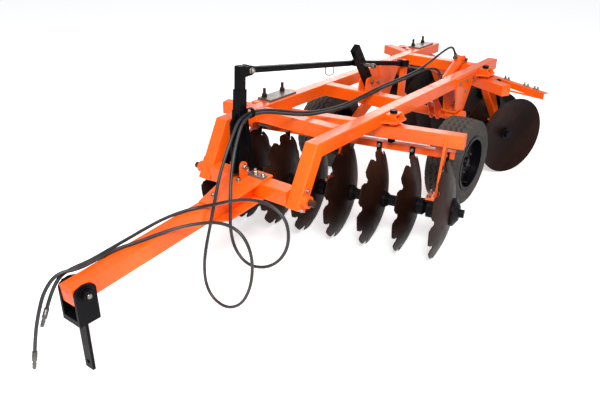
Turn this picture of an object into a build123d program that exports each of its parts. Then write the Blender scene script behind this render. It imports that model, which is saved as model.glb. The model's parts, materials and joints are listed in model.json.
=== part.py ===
from build123d import *
from math import cos, hypot, pi, radians, sin, sqrt, tan
import os

# Trailed offset disc harrow with hydraulic wheel lift, in millimetres.
# X points to the left hand side of the machine, Y to the rear, Z up, floor at Z = 0.
# Places along the machine are measured from the crossing of the front gang beam
# with the middle plane between the two rails.

# Place of that crossing in the part's own frame
mid_x = -64
front_y = -298

# Box sections and plates
tube = 90
tube_corner = 8
plate = 12
swing_gap = 5
side_gap = 1
pin_gap = 0.05

# Rails: straight run with a leg bent down at the front
rail_x = 354
bend_y = -720
leg_angle = 62
leg_length = 398
left_rail_end = 2062
right_rail_end = 2360
boss_diameter = 76
boss_length = 38

# Cross members, by the middle of each one
front_member_y = -385
mid_member_y = 415
rear_member_y = 1745

# Gangs: place of the beam on the middle plane, beam angle, beam ends left and
# right of the middle plane, place of the first disc's hub, the shaft's offset
# ahead of the beam, and dish, which is 1 where the hollow side looks left
front_gang = dict(y=0, angle=13.3, left=933, right=838, hub=933, ahead=176, dish=-1)
rear_gang = dict(y=1910, angle=-26.6, left=758, right=986, hub=664, ahead=-164, dish=1)
gangs = {"front": front_gang, "rear": rear_gang}

# Discs: part of a sphere with a flat middle, notched on the front gang
disc_count = 8
disc_pitch = 232
disc_diameter = 660
disc_thickness = 6
disc_sphere = 730
disc_flat = 150
notch_count = 10
notch_width = 40
notch_depth = 40
notch_mouth = 88
notch_flare = 20
notch_turn = -8

# Height of the frame, whose gang beams clear the tops of the discs
disc_room = 50
rail_top = disc_diameter + disc_room + 2 * tube

# Gang shafts: square bar, spools, end pieces and journals
shaft_side = 32
square_gap = 0.3
spool_end = 112
spool_waist = 74
spool_rim = 14
spool_slope = 26
bumper_diameter = 186
bumper_nose = 96
bumper_length = 44
washer_diameter = 96
washer_length = 16
nut_diameter = 56
nut_length = 30
journal = 62
bearing_gaps = (0, 3, 6)

# Bearing housings and hangers
housing_diameter = 128
housing_length = 92
housing_gap = 0.4
pad_height = 78
pad_width = 116
hanger_plate = 16
hanger_top = 100
hanger_foot_front = 20
hanger_foot_rear = 50
hanger_face = 84
hanger_face_share = 0.65
hanger_skin = 10
foot_plate = 14

# Scrapers: angle bar, flat arms and blades
scraper_angle = 50
scraper_wall = 6
scraper_arm = 36
scraper_arm_plate = 8
scraper_blade = 70
scraper_gap = 7
scraper_foot_drop = 4
strap_width = 50
front_bar_y = 53
front_bar_top = rail_top - 230
front_bar_short = 60
front_bar_right = -830
rear_bar_y = 150
rear_bar_top = rail_top - 100
rear_bar_overhang = 280
rear_bar_right = -960

# Gang pivot brackets on the left rail and clamps on the right rail
pivot_x = 434
pivot_bolt = 30
bracket_reach = 100
bracket_length = 190
bracket_z = rail_top - 60
bracket_height = 52
clamp_x = 430
clamp_length = 290
clamp_plate = 12
clamp_stud = 22
clamp_stud_reach = 100
clamp_stud_top = 62
cleat_length = 420
cleat_width = 56
cleat_plate = 18

# Wheels
wheel_x = 601
wheel_y = 895
tyre_radius = 336
tyre_width = 262
tread_width = 214
tread_drop = 12
bead_radius = 197
bead_width = 224
rim_lip = 16
rim_wall = 8
rim_plate_inset = 62
hub_diameter = 116
hub_length = 120
hand_holes = 5
hand_hole = 44
hand_hole_circle = 250

# Rock shaft with wheel arms, crank and levelling lever
shaft_y = 1300
shaft_z = rail_top - 345
shaft_diameter = 76
arm_plate = 30
arm_shaft_end = 56
arm_axle_end = 46
spindle_diameter = 50
hanger_bracket_top = (1165, 1560)
hanger_bracket_foot = (1216, 1384)
block_width = 84
block_length = 128
block_rise = 48
base_plate = 14

# Lift cylinder
cylinder_x = 200
cylinder_rear = (1690, rail_top + 38)
cylinder_front = (1200, rail_top - 210)
barrel_diameter = 80
barrel_start = 48
barrel_end = 400
rod_diameter = 40
rod_inner_end = 190
barrel_bore_start = 120
eye_diameter = 58
eye_width = 44
cylinder_pin = 25
rod_eye_gap = 2.2
ear_wall = 4
ear_lead = 6
ear_trail = 10
port_diameter = 30
port_height = 24
port_run = 60
port_places = (80, 368)

# Levelling linkage between drawbar tower and rock shaft
link_x = -55
link_side = 34
link_pin = 20
open_pin_gap = 11.3
link_eye = 28
tower_pin = (-790, rail_top + 374)
rocker_pivot = (475, rail_top + 62)
rocker_lean = 37
rocker_side = 44
rocker_width = 68
rocker_x = 2
rocker_ear_reach = 115
rocker_ear_rise = 32
rocker_ear_inset = 26
rocker_ear_round = 30
rocker_length = 340
rocker_foot = 34
rocker_hole = 18
rocker_hole_pitch = 51
rocker_hole_start = 75
rocker_hole_count = 5
rocker_bolt_hole = 2
rocker_bolt_reach = 95
lever_pin = (1145, rail_top + 60)
lever_knee = (1128, rail_top - 200)
lever_plate = 36
lever_width = 64
fork_plate = 10
fork_height = 52
fork_root = 20
link_pin_end = 8
tower_pin_end = 10

# Drawbar
drawbar_pin_y = -838
drawbar_pin_z = rail_top - 310
drawbar_slope = 4.75
pin_diameter = 40
pin_reach = 120
head_tube = 100
tongue_width = 98
tongue_front = -1316
head_plate = [(-35, -412), (45, -412), (118, -327), (118, 63), (-130, 63), (-130, -62)]
saddle_length = 218
saddle_width = 44
tower_x = -43
tower_foot_y = -905
tower_head_y = -866
tower_side = 46
sleeve_side = 56
sleeve_top = rail_top + 280
tower_bottom = rail_top - 228
tower_top = rail_top + 414
ear_root = 8
gusset_reach = 60
gusset_top = rail_top + 160
foot_ear_z = rail_top - 177
foot_ear_radius = 30
head_top = rail_top - 254
brace_top = (-872, rail_top + 115)
brace_foot = (-826, rail_top - 228)
brace_width = 36

# Ring that gathers the hoses beside the tower
ring_place = (16, -858, rail_top + 147)
ring_diameter = 62
ring_wall = 4
ring_band = 24

# Hitch clevis and its hanging tongue bar
hitch_pin_y = -1261
hitch_pin = 36
hitch_nut = 60
hitch_nut_length = 26
clevis_plate = 16
clevis_length = 115
clevis_head = 50
clevis_corner = 30
clevis_corner_up = 12
clevis_drop = 162
clevis_base = 30
swivel_bolt = 28
swivel_head = 44
swivel_head_height = 24
collar_height = 26
collar_lip = 6
collar_depth = 20
eye_bar_width = 60
eye_bar_plate = 16
eye_bar_end = 6
eye_bore = 26
eye_bore_height = 42

# Hoses
hose_diameter = 18
coupler_diameter = 26
coupler_length = 95

# Corner points of the hoses, from the ring to the couplers and to the cylinder
front_hose_1 = [
    (8, -858, 1034),
    (8, -935, 1034),
    (42, -1050, 940),
    (50, -1125, 835),
    (62, -1190, 730),
    (73, -1240, 620),
    (77, -1285, 500),
    (72, -1320, 385),
    (65, -1340, 265),
    (80, -1350, 145),
    (140, -1354, 70),
    (250, -1356, 55),
    (355, -1356, 125),
    (420, -1356, 240),
    (450, -1356, 370),
    (445, -1358, 500),
    (385, -1367, 602),
    (270, -1384, 625),
    (160, -1420, 602),
    (84, -1510, 590),
    (40, -1615, 580),
    (5, -1725, 569),
    (-38, -1830, 560),
    (-42, -1945, 551),
    (-40, -2050, 550),
    (-80, -2140, 556),
    (-104, -2205, 478),
    (-105, -2250, 380),
    (-105, -2285, 280),
    (-105, -2305, 190),
]
front_hose_2 = [
    (27, -858, 1024),
    (27, -930, 1024),
    (58, -1030, 912),
    (94, -1105, 812),
    (134, -1168, 719),
    (168, -1212, 610),
    (194, -1248, 500),
    (228, -1252, 385),
    (320, -1250, 315),
    (445, -1237, 340),
    (540, -1222, 425),
    (582, -1210, 545),
    (560, -1212, 675),
    (455, -1228, 735),
    (335, -1248, 728),
    (222, -1264, 690),
    (112, -1276, 640),
    (22, -1300, 606),
    (-32, -1393, 596),
    (-58, -1506, 587),
    (-62, -1622, 578),
    (-62, -1737, 568),
    (-62, -1853, 559),
    (-62, -1967, 549),
    (-74, -2052, 546),
    (-94, -2115, 528),
    (-94, -2175, 462),
    (-94, -2210, 392),
]
rear_hose_1 = [
    (8, -858, 1034),
    (8, -770, 1034),
    (28, -600, 992),
    (42, -400, 928),
    (54, -200, 893),
    (66, 20, 876),
    (82, 240, 890),
    (100, 460, 915),
    (118, 680, 928),
    (134, 880, 936),
    (150, 1050, 958),
    (168, 1220, 1005),
    (185, 1370, 1050),
    (198, 1490, 1068),
]
rear_hose_2 = [
    (27, -858, 1024),
    (27, -770, 1024),
    (50, -600, 975),
    (64, -400, 915),
    (76, -200, 886),
    (88, 20, 868),
    (104, 240, 888),
    (122, 460, 914),
    (140, 680, 922),
    (154, 880, 928),
    (166, 1020, 944),
    (178, 1140, 944),
    (192, 1245, 922),
]
hoses = {
    "front_hose_1": front_hose_1,
    "front_hose_2": front_hose_2,
    "rear_hose_1": rear_hose_1,
    "rear_hose_2": rear_hose_2,
}
hose_ports = {"rear_hose_1": port_places[0], "rear_hose_2": port_places[1]}


def across(x):
    """Upright plane along the machine: local X to the rear, local Y up, facing left."""
    return Plane(origin=(mid_x + x, front_y, 0), x_dir=(0, 1, 0), z_dir=(1, 0, 0))


def level(z):
    """Level plane: local X to the left, local Y to the rear, facing up."""
    return Plane(origin=(mid_x, front_y, z), x_dir=(1, 0, 0), z_dir=(0, 0, 1))


def gang_level(gang, z):
    """Level plane with local X along the gang to the left and local Y to the rear."""
    turn = radians(gang["angle"])
    ahead = (cos(turn), sin(turn), 0)
    return Plane(origin=(mid_x, front_y + gang["y"], z), x_dir=ahead, z_dir=(0, 0, 1))


def gang_across(gang, along):
    """Upright plane square to the gang: local X to the rear, local Y up."""
    base = gang_level(gang, 0)
    return Plane(origin=base.from_local_coords((along, 0, 0)), x_dir=base.y_dir, z_dir=base.x_dir)


def gang_upright(gang, along, rear):
    """Upright plane along the gang: local X to the left, local Y up, facing the front."""
    base = gang_level(gang, 0)
    start = base.from_local_coords((along, rear, 0))
    return Plane(origin=start, x_dir=base.x_dir, z_dir=-base.y_dir)


def gang_axis(gang):
    """Line of the gang's shaft, towards the left."""
    base = gang_level(gang, axle_z)
    return Axis(base.from_local_coords((0, -gang["ahead"], 0)), base.x_dir)


def hub_places(gang):
    """Places of the disc hubs along a gang, from the left."""
    return [gang["hub"] - disc_pitch * number for number in range(disc_count)]


def bearing_places(gang):
    """Middles of the gaps between discs that hold a bearing."""
    return [gang["hub"] - disc_pitch * (gap + 0.5) for gap in bearing_gaps]


def dish_height(radius):
    """How far the dished part stands out from the flat middle at a radius."""
    return sqrt(disc_sphere**2 - (disc_flat / 2) ** 2) - sqrt(disc_sphere**2 - radius**2)


def crossing_y(gang, x):
    """Place of a gang beam's centre line along the machine at a distance from the middle."""
    return gang["y"] + x * tan(radians(gang["angle"]))


pieces = {}
rail_bottom = rail_top - tube
beam_bottom = rail_bottom - tube
axle_z = disc_diameter / 2
rail_in = rail_x - tube / 2
rail_out = rail_x + tube / 2
slope = radians(drawbar_slope)


def drawbar_level(height):
    """Level plane of the drawbar about its pin: local X to the left, local Y to the rear."""
    base = Plane(
        origin=(mid_x, front_y + drawbar_pin_y, drawbar_pin_z),
        x_dir=(1, 0, 0),
        z_dir=(0, -sin(slope), cos(slope)),
    )
    return base.offset(height)


def drawbar_across(x):
    """Plane along the drawbar through its pin line: local X to the rear, local Y up."""
    base = drawbar_level(0)
    return Plane(origin=base.from_local_coords((x, 0, 0)), x_dir=base.y_dir, z_dir=base.x_dir)


# Rails with their bent legs and the bosses of the drawbar pins
leg_turn = radians(leg_angle)
leg_down = (-cos(leg_turn), -sin(leg_turn))
leg_back = (sin(leg_turn), -cos(leg_turn))
leg_foot = (bend_y + leg_length * leg_down[0], rail_top + leg_length * leg_down[1])
inner_bend = tube * tan(leg_turn / 2)
for name, rail_side, rail_end in (("left_rail", 1, left_rail_end), ("right_rail", -1, right_rail_end)):
    with BuildPart() as rail:
        with BuildSketch(across(rail_side * rail_x - tube / 2)):
            with BuildLine():
                Polyline(
                    (rail_end, rail_bottom),
                    (rail_end, rail_top),
                    (bend_y, rail_top),
                    leg_foot,
                    (leg_foot[0] + tube * leg_back[0], leg_foot[1] + tube * leg_back[1]),
                    (bend_y + inner_bend, rail_bottom),
                    close=True,
                )
            make_face()
        extrude(amount=tube)
        fillet(rail.edges().filter_by(Axis.X, reverse=True), tube_corner)
        with BuildSketch(across(rail_side * rail_out)):
            with Locations((drawbar_pin_y, drawbar_pin_z)):
                Circle(boss_diameter / 2)
        extrude(amount=rail_side * boss_length)
        with BuildSketch(across(rail_side * (rail_in - tube))):
            with Locations((drawbar_pin_y, drawbar_pin_z)):
                Circle(pin_diameter / 2 + pin_gap)
        extrude(amount=rail_side * tube * 3, mode=Mode.SUBTRACT)
    pieces[name] = rail

# Pins of the drawbar, with a dark end outside each boss
with BuildPart() as drawbar_pins:
    for pin_side in (1, -1):
        with BuildSketch(across(pin_side * (rail_out + boss_length + pin_diameter))):
            with Locations((drawbar_pin_y, drawbar_pin_z)):
                Circle(pin_diameter / 2)
        extrude(amount=-pin_side * (pin_diameter + boss_length + tube + pin_reach))
pieces["drawbar_pins"] = drawbar_pins

# Front cross member
with BuildPart() as front_cross_member:
    with BuildSketch(level(rail_bottom)):
        with Locations((0, front_member_y)):
            Rectangle(2 * rail_in, tube)
    extrude(amount=tube)
    fillet(front_cross_member.edges().filter_by(Axis.X), tube_corner)
pieces["front_cross_member"] = front_cross_member

# Middle cross member with the two ears that hold the rocker
ear_gap = rocker_side / 2 + side_gap
ear_front = mid_member_y - tube / 2 + rocker_ear_inset
ear_rear = rocker_pivot[0] + rocker_ear_reach
ear_top = rocker_pivot[1] + rocker_ear_rise
with BuildPart() as mid_cross_member:
    with BuildSketch(level(rail_bottom)):
        with Locations((0, mid_member_y)):
            Rectangle(2 * rail_in, tube)
    extrude(amount=tube)
    fillet(mid_cross_member.edges().filter_by(Axis.X), tube_corner)
    for ear_side in (1, -1):
        with BuildSketch(across(rocker_x + ear_side * ear_gap)):
            with BuildLine():
                Polyline(
                    (mid_member_y + tube / 2 - tube_corner, rail_bottom + tube / 3),
                    (ear_rear, rail_bottom + tube / 3),
                    (ear_rear, ear_top),
                    (ear_front + plate, ear_top),
                    (ear_front, rail_top - tube_corner),
                    (mid_member_y + tube / 2 - tube_corner, rail_top - tube_corner),
                    close=True,
                )
            ear_face = make_face()
            fillet(ear_face.vertices().group_by(Axis.Y)[-1], rocker_ear_round)
            with Locations(rocker_pivot):
                Circle(link_pin / 2 + pin_gap, mode=Mode.SUBTRACT)
        extrude(amount=ear_side * plate)
pieces["mid_cross_member"] = mid_cross_member

# Rear cross member with the two ears of the lift cylinder
cylinder_ear_gap = eye_width / 2 + side_gap
with BuildPart() as rear_cross_member:
    with BuildSketch(level(rail_bottom)):
        with Locations((0, rear_member_y)):
            Rectangle(2 * rail_in, tube)
    extrude(amount=tube)
    fillet(rear_cross_member.edges().filter_by(Axis.X), tube_corner)
    for ear_side in (1, -1):
        with BuildSketch(across(cylinder_x + ear_side * cylinder_ear_gap)):
            with Locations(cylinder_rear):
                Circle(eye_diameter / 2 + ear_wall)
            with BuildLine():
                Polyline(
                    (cylinder_rear[0] + ear_lead, cylinder_rear[1] + eye_diameter / 2),
                    (rear_member_y + tube / 2 - tube_corner, rail_top - tube_corner),
                    (rear_member_y - tube / 2 + tube_corner, rail_top - tube_corner),
                    (cylinder_rear[0] - ear_trail, cylinder_rear[1] - eye_diameter / 2),
                    close=True,
                )
            make_face()
            with Locations(cylinder_rear):
                Circle(cylinder_pin / 2 + pin_gap, mode=Mode.SUBTRACT)
        extrude(amount=ear_side * plate)
pieces["rear_cross_member"] = rear_cross_member

# Gang beams under the rails, with the hole of the pivot bolt
for gang_name, gang in gangs.items():
    with BuildPart() as beam:
        with BuildSketch(gang_level(gang, beam_bottom)):
            with Locations(((gang["left"] - gang["right"]) / 2, 0)):
                Rectangle(gang["left"] + gang["right"], tube)
        extrude(amount=tube)
        fillet(beam.edges().filter_by(Axis.Z, reverse=True).filter_by(gang_axis(gang)), tube_corner)
        with BuildSketch(level(beam_bottom)):
            with Locations((pivot_x, crossing_y(gang, pivot_x))):
                Circle(pivot_bolt / 2 + pin_gap)
        extrude(amount=tube, mode=Mode.SUBTRACT)
    pieces[gang_name + "_gang_beam"] = beam

# Pivot brackets of both gangs on the left rail: floor plate, two uprights and a cap
with BuildPart() as pivot_brackets:
    for gang in gangs.values():
        pivot_y = crossing_y(gang, pivot_x)
        with BuildSketch(level(bracket_z)):
            with BuildLine():
                Polyline(
                    (rail_out, pivot_y - bracket_length / 2 - plate),
                    (rail_out, pivot_y + bracket_length / 2 + plate),
                    (rail_out + bracket_reach, pivot_y + bracket_length / 3),
                    (rail_out + bracket_reach, pivot_y - bracket_length / 3),
                    close=True,
                )
            make_face()
        extrude(amount=plate)
        with BuildSketch(level(bracket_z + bracket_height - plate)):
            with Locations((rail_out, pivot_y)):
                Rectangle(bracket_reach * 0.7, bracket_length / 2, align=(Align.MIN, Align.CENTER))
        extrude(amount=plate)
        for upright in (-1, 1):
            with BuildSketch(
                Plane(
                    origin=(mid_x, front_y + pivot_y + upright * bracket_length / 4, 0),
                    x_dir=(1, 0, 0),
                    z_dir=(0, -1, 0),
                )
            ):
                with BuildLine():
                    Polyline(
                        (rail_out, bracket_z + plate),
                        (rail_out + bracket_reach, bracket_z + plate),
                        (rail_out + bracket_reach * 0.7, bracket_z + bracket_height),
                        (rail_out, bracket_z + bracket_height),
                        close=True,
                    )
                make_face()
            extrude(amount=plate / 2, both=True)
        with BuildSketch(level(rail_bottom)):
            with Locations((pivot_x, pivot_y)):
                Circle(pivot_bolt)
        extrude(amount=bracket_z - rail_bottom)
        with BuildSketch(level(rail_bottom)):
            with Locations((pivot_x, pivot_y)):
                Circle(pivot_bolt / 2 + pin_gap)
        extrude(amount=bracket_z + bracket_height, mode=Mode.SUBTRACT)
pieces["gang_pivot_brackets"] = pivot_brackets

# Pivot bolts: hexagon head above the cap, nut under the beam
with BuildPart() as pivot_bolts:
    for gang in gangs.values():
        pivot_y = crossing_y(gang, pivot_x)
        with BuildSketch(level(beam_bottom - nut_length)):
            with Locations((pivot_x, pivot_y)):
                RegularPolygon(pivot_bolt * 0.8, 6, major_radius=False)
        extrude(amount=nut_length)
        with BuildSketch(level(beam_bottom - nut_length)):
            with Locations((pivot_x, pivot_y)):
                Circle(pivot_bolt / 2)
        extrude(amount=nut_length + bracket_z + bracket_height - beam_bottom)
        with BuildSketch(level(bracket_z + bracket_height)):
            with Locations((pivot_x, pivot_y)):
                RegularPolygon(pivot_bolt * 0.8, 6, major_radius=False)
        extrude(amount=nut_length * 0.7)
pieces["gang_pivot_bolts"] = pivot_bolts

# Cleats welded along the right rail, where the gangs are clamped
with BuildPart() as rail_cleats:
    for gang in gangs.values():
        clamp_y = crossing_y(gang, -clamp_x)
        with BuildSketch(level(rail_top - cleat_plate)):
            with Locations((-rail_out, clamp_y)):
                Rectangle(cleat_width, cleat_length, align=(Align.MAX, Align.CENTER))
            with Locations((-clamp_x, clamp_y - clamp_stud_reach), (-clamp_x, clamp_y + clamp_stud_reach)):
                SlotOverall(clamp_stud * 2.4, clamp_stud + 2, rotation=90, mode=Mode.SUBTRACT)
        extrude(amount=cleat_plate)
pieces["rail_cleats"] = rail_cleats

# Clamp plates above the rail and below the beam
with BuildPart() as clamp_plates:
    for gang in gangs.values():
        clamp_y = crossing_y(gang, -clamp_x)
        for plate_z in (rail_top, beam_bottom - clamp_plate):
            with BuildSketch(level(plate_z)):
                with Locations((-rail_out - cleat_width, clamp_y)):
                    Rectangle(cleat_width + tube * 0.7, clamp_length, align=(Align.MIN, Align.CENTER))
                with Locations(
                    (-clamp_x, clamp_y - clamp_stud_reach),
                    (-clamp_x, clamp_y + clamp_stud_reach),
                ):
                    Circle(clamp_stud / 2 + pin_gap, mode=Mode.SUBTRACT)
            extrude(amount=clamp_plate)
pieces["clamp_plates"] = clamp_plates

# Clamp studs with a nut at both ends
with BuildPart() as clamp_studs:
    for gang in gangs.values():
        clamp_y = crossing_y(gang, -clamp_x)
        for stud_y in (clamp_y - clamp_stud_reach, clamp_y + clamp_stud_reach):
            low_nut = beam_bottom - clamp_plate - clamp_stud
            with BuildSketch(level(low_nut - clamp_stud / 2)):
                with Locations((-clamp_x, stud_y)):
                    Circle(clamp_stud / 2)
            extrude(amount=rail_top + clamp_plate + clamp_stud_top - low_nut + clamp_stud / 2)
            for nut_z in (low_nut, rail_top + clamp_plate):
                with BuildSketch(level(nut_z)):
                    with Locations((-clamp_x, stud_y)):
                        RegularPolygon(clamp_stud * 0.8, 6, major_radius=False)
                extrude(amount=clamp_stud)
pieces["clamp_studs"] = clamp_studs

# Hangers from each beam to the bearing feet: tapered plate, foot plate, a broad front at the rear gang
foot_top = axle_z + pad_height + foot_plate
for gang_name, gang in gangs.items():
    lean = 1 if gang["ahead"] > 0 else -1
    with BuildPart() as hangers:
        for place in bearing_places(gang):
            with BuildSketch(gang_across(gang, place - hanger_plate / 2)):
                with BuildLine():
                    Polyline(
                        (-lean * tube / 2, beam_bottom),
                        (-lean * tube / 2, beam_bottom + hanger_top * 0.8),
                        (-gang["ahead"] - lean * hanger_foot_front, foot_top),
                        (-gang["ahead"] + lean * hanger_foot_rear, foot_top),
                        (lean * tube / 2, beam_bottom),
                        close=True,
                    )
                make_face()
            extrude(amount=hanger_plate)
            if gang_name == "rear":
                front_foot = -gang["ahead"] + lean * hanger_foot_rear
                with BuildSketch(gang_across(gang, place + gang["dish"] * hanger_face * hanger_face_share)):
                    Polygon(
                        (lean * tube / 2, beam_bottom),
                        (lean * tube / 2 + hanger_skin, beam_bottom),
                        (front_foot + hanger_skin, foot_top),
                        (front_foot, foot_top),
                        align=None,
                    )
                extrude(amount=-gang["dish"] * hanger_face)
            with BuildSketch(gang_level(gang, foot_top - foot_plate)):
                with Locations((place, -gang["ahead"])):
                    Rectangle(pad_width, pad_width)
            extrude(amount=foot_plate)
    pieces[gang_name + "_hangers"] = hangers

# Bearing housings: barrel round the journal with a pad under the hanger's foot
for gang_name, gang in gangs.items():
    shaft_rear = -gang["ahead"]
    with BuildPart() as bearings:
        for place in bearing_places(gang):
            with BuildSketch(gang_across(gang, place - housing_length / 2)):
                with Locations((shaft_rear, axle_z)):
                    Circle(housing_diameter / 2)
                with Locations((shaft_rear, axle_z + pad_height)):
                    Rectangle(pad_width * 0.8, pad_height, align=(Align.CENTER, Align.MAX))
            extrude(amount=housing_length)
            with BuildSketch(gang_level(gang, axle_z + pad_height)):
                with Locations((place, shaft_rear)):
                    Rectangle(pad_width, pad_width)
            extrude(amount=-foot_plate)
            with BuildSketch(gang_across(gang, place - housing_length / 2)):
                with Locations((shaft_rear, axle_z)):
                    Circle(journal / 2 + housing_gap)
            extrude(amount=housing_length, mode=Mode.SUBTRACT)
    pieces[gang_name + "_bearings"] = bearings

# Discs: flat middle, spherical dish, square hole; the front ones have round notches
disc_radius = disc_diameter / 2
mid_radius = (disc_flat / 2 + disc_radius) / 2
half = disc_thickness / 2
for gang_name, gang in gangs.items():
    with BuildPart() as discs:
        for place in hub_places(gang):
            turn = gang["dish"]
            with BuildSketch(gang_upright(gang, place, -gang["ahead"])):
                with BuildLine():
                    Line((-turn * half, axle_z), (-turn * half, axle_z + disc_flat / 2))
                    ThreePointArc(
                        (-turn * half, axle_z + disc_flat / 2),
                        (turn * (dish_height(mid_radius) - half), axle_z + mid_radius),
                        (turn * (dish_height(disc_radius) - half), axle_z + disc_radius),
                    )
                    Line(
                        (turn * (dish_height(disc_radius) - half), axle_z + disc_radius),
                        (turn * (dish_height(disc_radius) + half), axle_z + disc_radius),
                    )
                    ThreePointArc(
                        (turn * (dish_height(disc_radius) + half), axle_z + disc_radius),
                        (turn * (dish_height(mid_radius) + half), axle_z + mid_radius),
                        (turn * half, axle_z + disc_flat / 2),
                    )
                    Line((turn * half, axle_z + disc_flat / 2), (turn * half, axle_z))
                    Line((turn * half, axle_z), (-turn * half, axle_z))
                make_face()
            revolve(axis=gang_axis(gang))
        for place in hub_places(gang):
            with BuildSketch(gang_across(gang, place - disc_radius / 2)):
                with Locations((-gang["ahead"], axle_z)):
                    Rectangle(shaft_side + 2 * square_gap, shaft_side + 2 * square_gap)
                    if gang_name == "front":
                        pocket = disc_radius - notch_depth + notch_width / 2
                        flare = disc_radius - notch_flare - pocket
                        rim = flare + 2 * notch_flare
                        with PolarLocations(pocket, notch_count, start_angle=notch_turn):
                            Circle(notch_width / 2)
                            Rectangle(notch_depth, notch_width, align=(Align.MIN, Align.CENTER))
                            Polygon(
                                (flare, notch_width / 2),
                                (flare, -notch_width / 2),
                                (rim, -notch_mouth),
                                (rim, notch_mouth),
                                align=None,
                            )
            extrude(amount=disc_radius, mode=Mode.SUBTRACT)
    pieces[gang_name + "_discs"] = discs

# Gang shafts with spools, journals, the bumper on the outer back and the end nuts
for gang_name, gang in gangs.items():
    hubs = hub_places(gang)
    rise = gang_upright(gang, 0, -gang["ahead"])
    back_end = hubs[0] + half if gang["dish"] < 0 else hubs[-1] - half
    hollow_end = hubs[-1] - half if gang["dish"] < 0 else hubs[0] + half
    out = -gang["dish"]
    with BuildPart() as gang_shaft:
        with BuildSketch(gang_across(gang, hubs[-1] - half)):
            with Locations((-gang["ahead"], axle_z)):
                Rectangle(shaft_side, shaft_side)
        extrude(amount=hubs[0] - hubs[-1] + disc_thickness)
        for gap in range(disc_count - 1):
            low = hubs[gap + 1] + half
            high = hubs[gap] - half
            bearing = gap in bearing_gaps
            waist = journal / 2 if bearing else spool_waist / 2
            rim = (high - low - housing_length) / 2 - side_gap - spool_slope if bearing else spool_rim
            with BuildSketch(rise):
                with BuildLine():
                    Polyline(
                        (low, axle_z),
                        (low, axle_z + spool_end / 2),
                        (low + rim, axle_z + spool_end / 2),
                        (low + rim + spool_slope, axle_z + waist),
                        (high - rim - spool_slope, axle_z + waist),
                        (high - rim, axle_z + spool_end / 2),
                        (high, axle_z + spool_end / 2),
                        (high, axle_z),
                        close=True,
                    )
                make_face()
            revolve(axis=gang_axis(gang))
        with BuildSketch(rise):
            with BuildLine():
                Polyline(
                    (back_end, axle_z),
                    (back_end, axle_z + bumper_diameter / 2),
                    (back_end + out * spool_rim, axle_z + bumper_diameter / 2),
                    (back_end + out * bumper_length, axle_z + bumper_nose / 2),
                    (back_end + out * bumper_length, axle_z + nut_diameter / 2),
                    (back_end + out * (bumper_length + nut_length), axle_z + nut_diameter / 2),
                    (back_end + out * (bumper_length + nut_length), axle_z),
                    close=True,
                )
            make_face()
            with BuildLine():
                Polyline(
                    (hollow_end, axle_z),
                    (hollow_end, axle_z + washer_diameter / 2),
                    (hollow_end - out * washer_length, axle_z + washer_diameter / 2),
                    (hollow_end - out * washer_length, axle_z + nut_diameter / 2),
                    (hollow_end - out * (washer_length + nut_length), axle_z + nut_diameter / 2),
                    (hollow_end - out * (washer_length + nut_length), axle_z),
                    close=True,
                )
            make_face()
        revolve(axis=gang_axis(gang))
    pieces[gang_name + "_gang_shaft"] = gang_shaft

# Scrapers: an angle bar for each gang, held by straps, with a brace at the rear gang's end
bars = {
    "front": dict(
        rear=front_bar_y,
        top=front_bar_top,
        left=front_gang["left"] - front_bar_short,
        right=front_bar_right,
    ),
    "rear": dict(
        rear=rear_bar_y,
        top=rear_bar_top,
        left=rear_gang["left"] + rear_bar_overhang,
        right=rear_bar_right,
    ),
}
for gang_name, gang in gangs.items():
    bar = bars[gang_name]
    face = bar["rear"] - scraper_angle / 2
    with BuildPart() as scraper_bar:
        with BuildSketch(gang_across(gang, bar["right"])):
            with BuildLine():
                Polyline(
                    (face, bar["top"] - scraper_angle),
                    (face, bar["top"]),
                    (face + scraper_angle, bar["top"]),
                    (face + scraper_angle, bar["top"] - scraper_wall),
                    (face + scraper_wall, bar["top"] - scraper_wall),
                    (face + scraper_wall, bar["top"] - scraper_angle),
                    close=True,
                )
            make_face()
        extrude(amount=bar["left"] - bar["right"])
        if gang_name == "front":
            for place in bearing_places(gang):
                with BuildSketch(gang_level(gang, bar["top"])):
                    with Locations((place - strap_width, face + scraper_wall / 2)):
                        Rectangle(strap_width, scraper_wall)
                extrude(until=Until.NEXT, target=pieces["front_gang_beam"].part)
        else:
            with BuildSketch(gang_level(gang, bar["top"] - plate)):
                for place in bearing_places(gang):
                    with Locations((place - strap_width, tube / 2)):
                        Rectangle(strap_width, face - tube / 2, align=(Align.CENTER, Align.MIN))
            extrude(amount=plate)
            with BuildSketch(gang_level(gang, bar["top"] - scraper_angle)):
                with BuildLine():
                    Polyline(
                        (gang["left"] - strap_width, tube / 2),
                        (gang["left"], tube / 2),
                        (bar["left"], face),
                        (bar["left"] - strap_width, face),
                        close=True,
                    )
                make_face()
            extrude(amount=plate)
    pieces[gang_name + "_scraper_bar"] = scraper_bar

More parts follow.
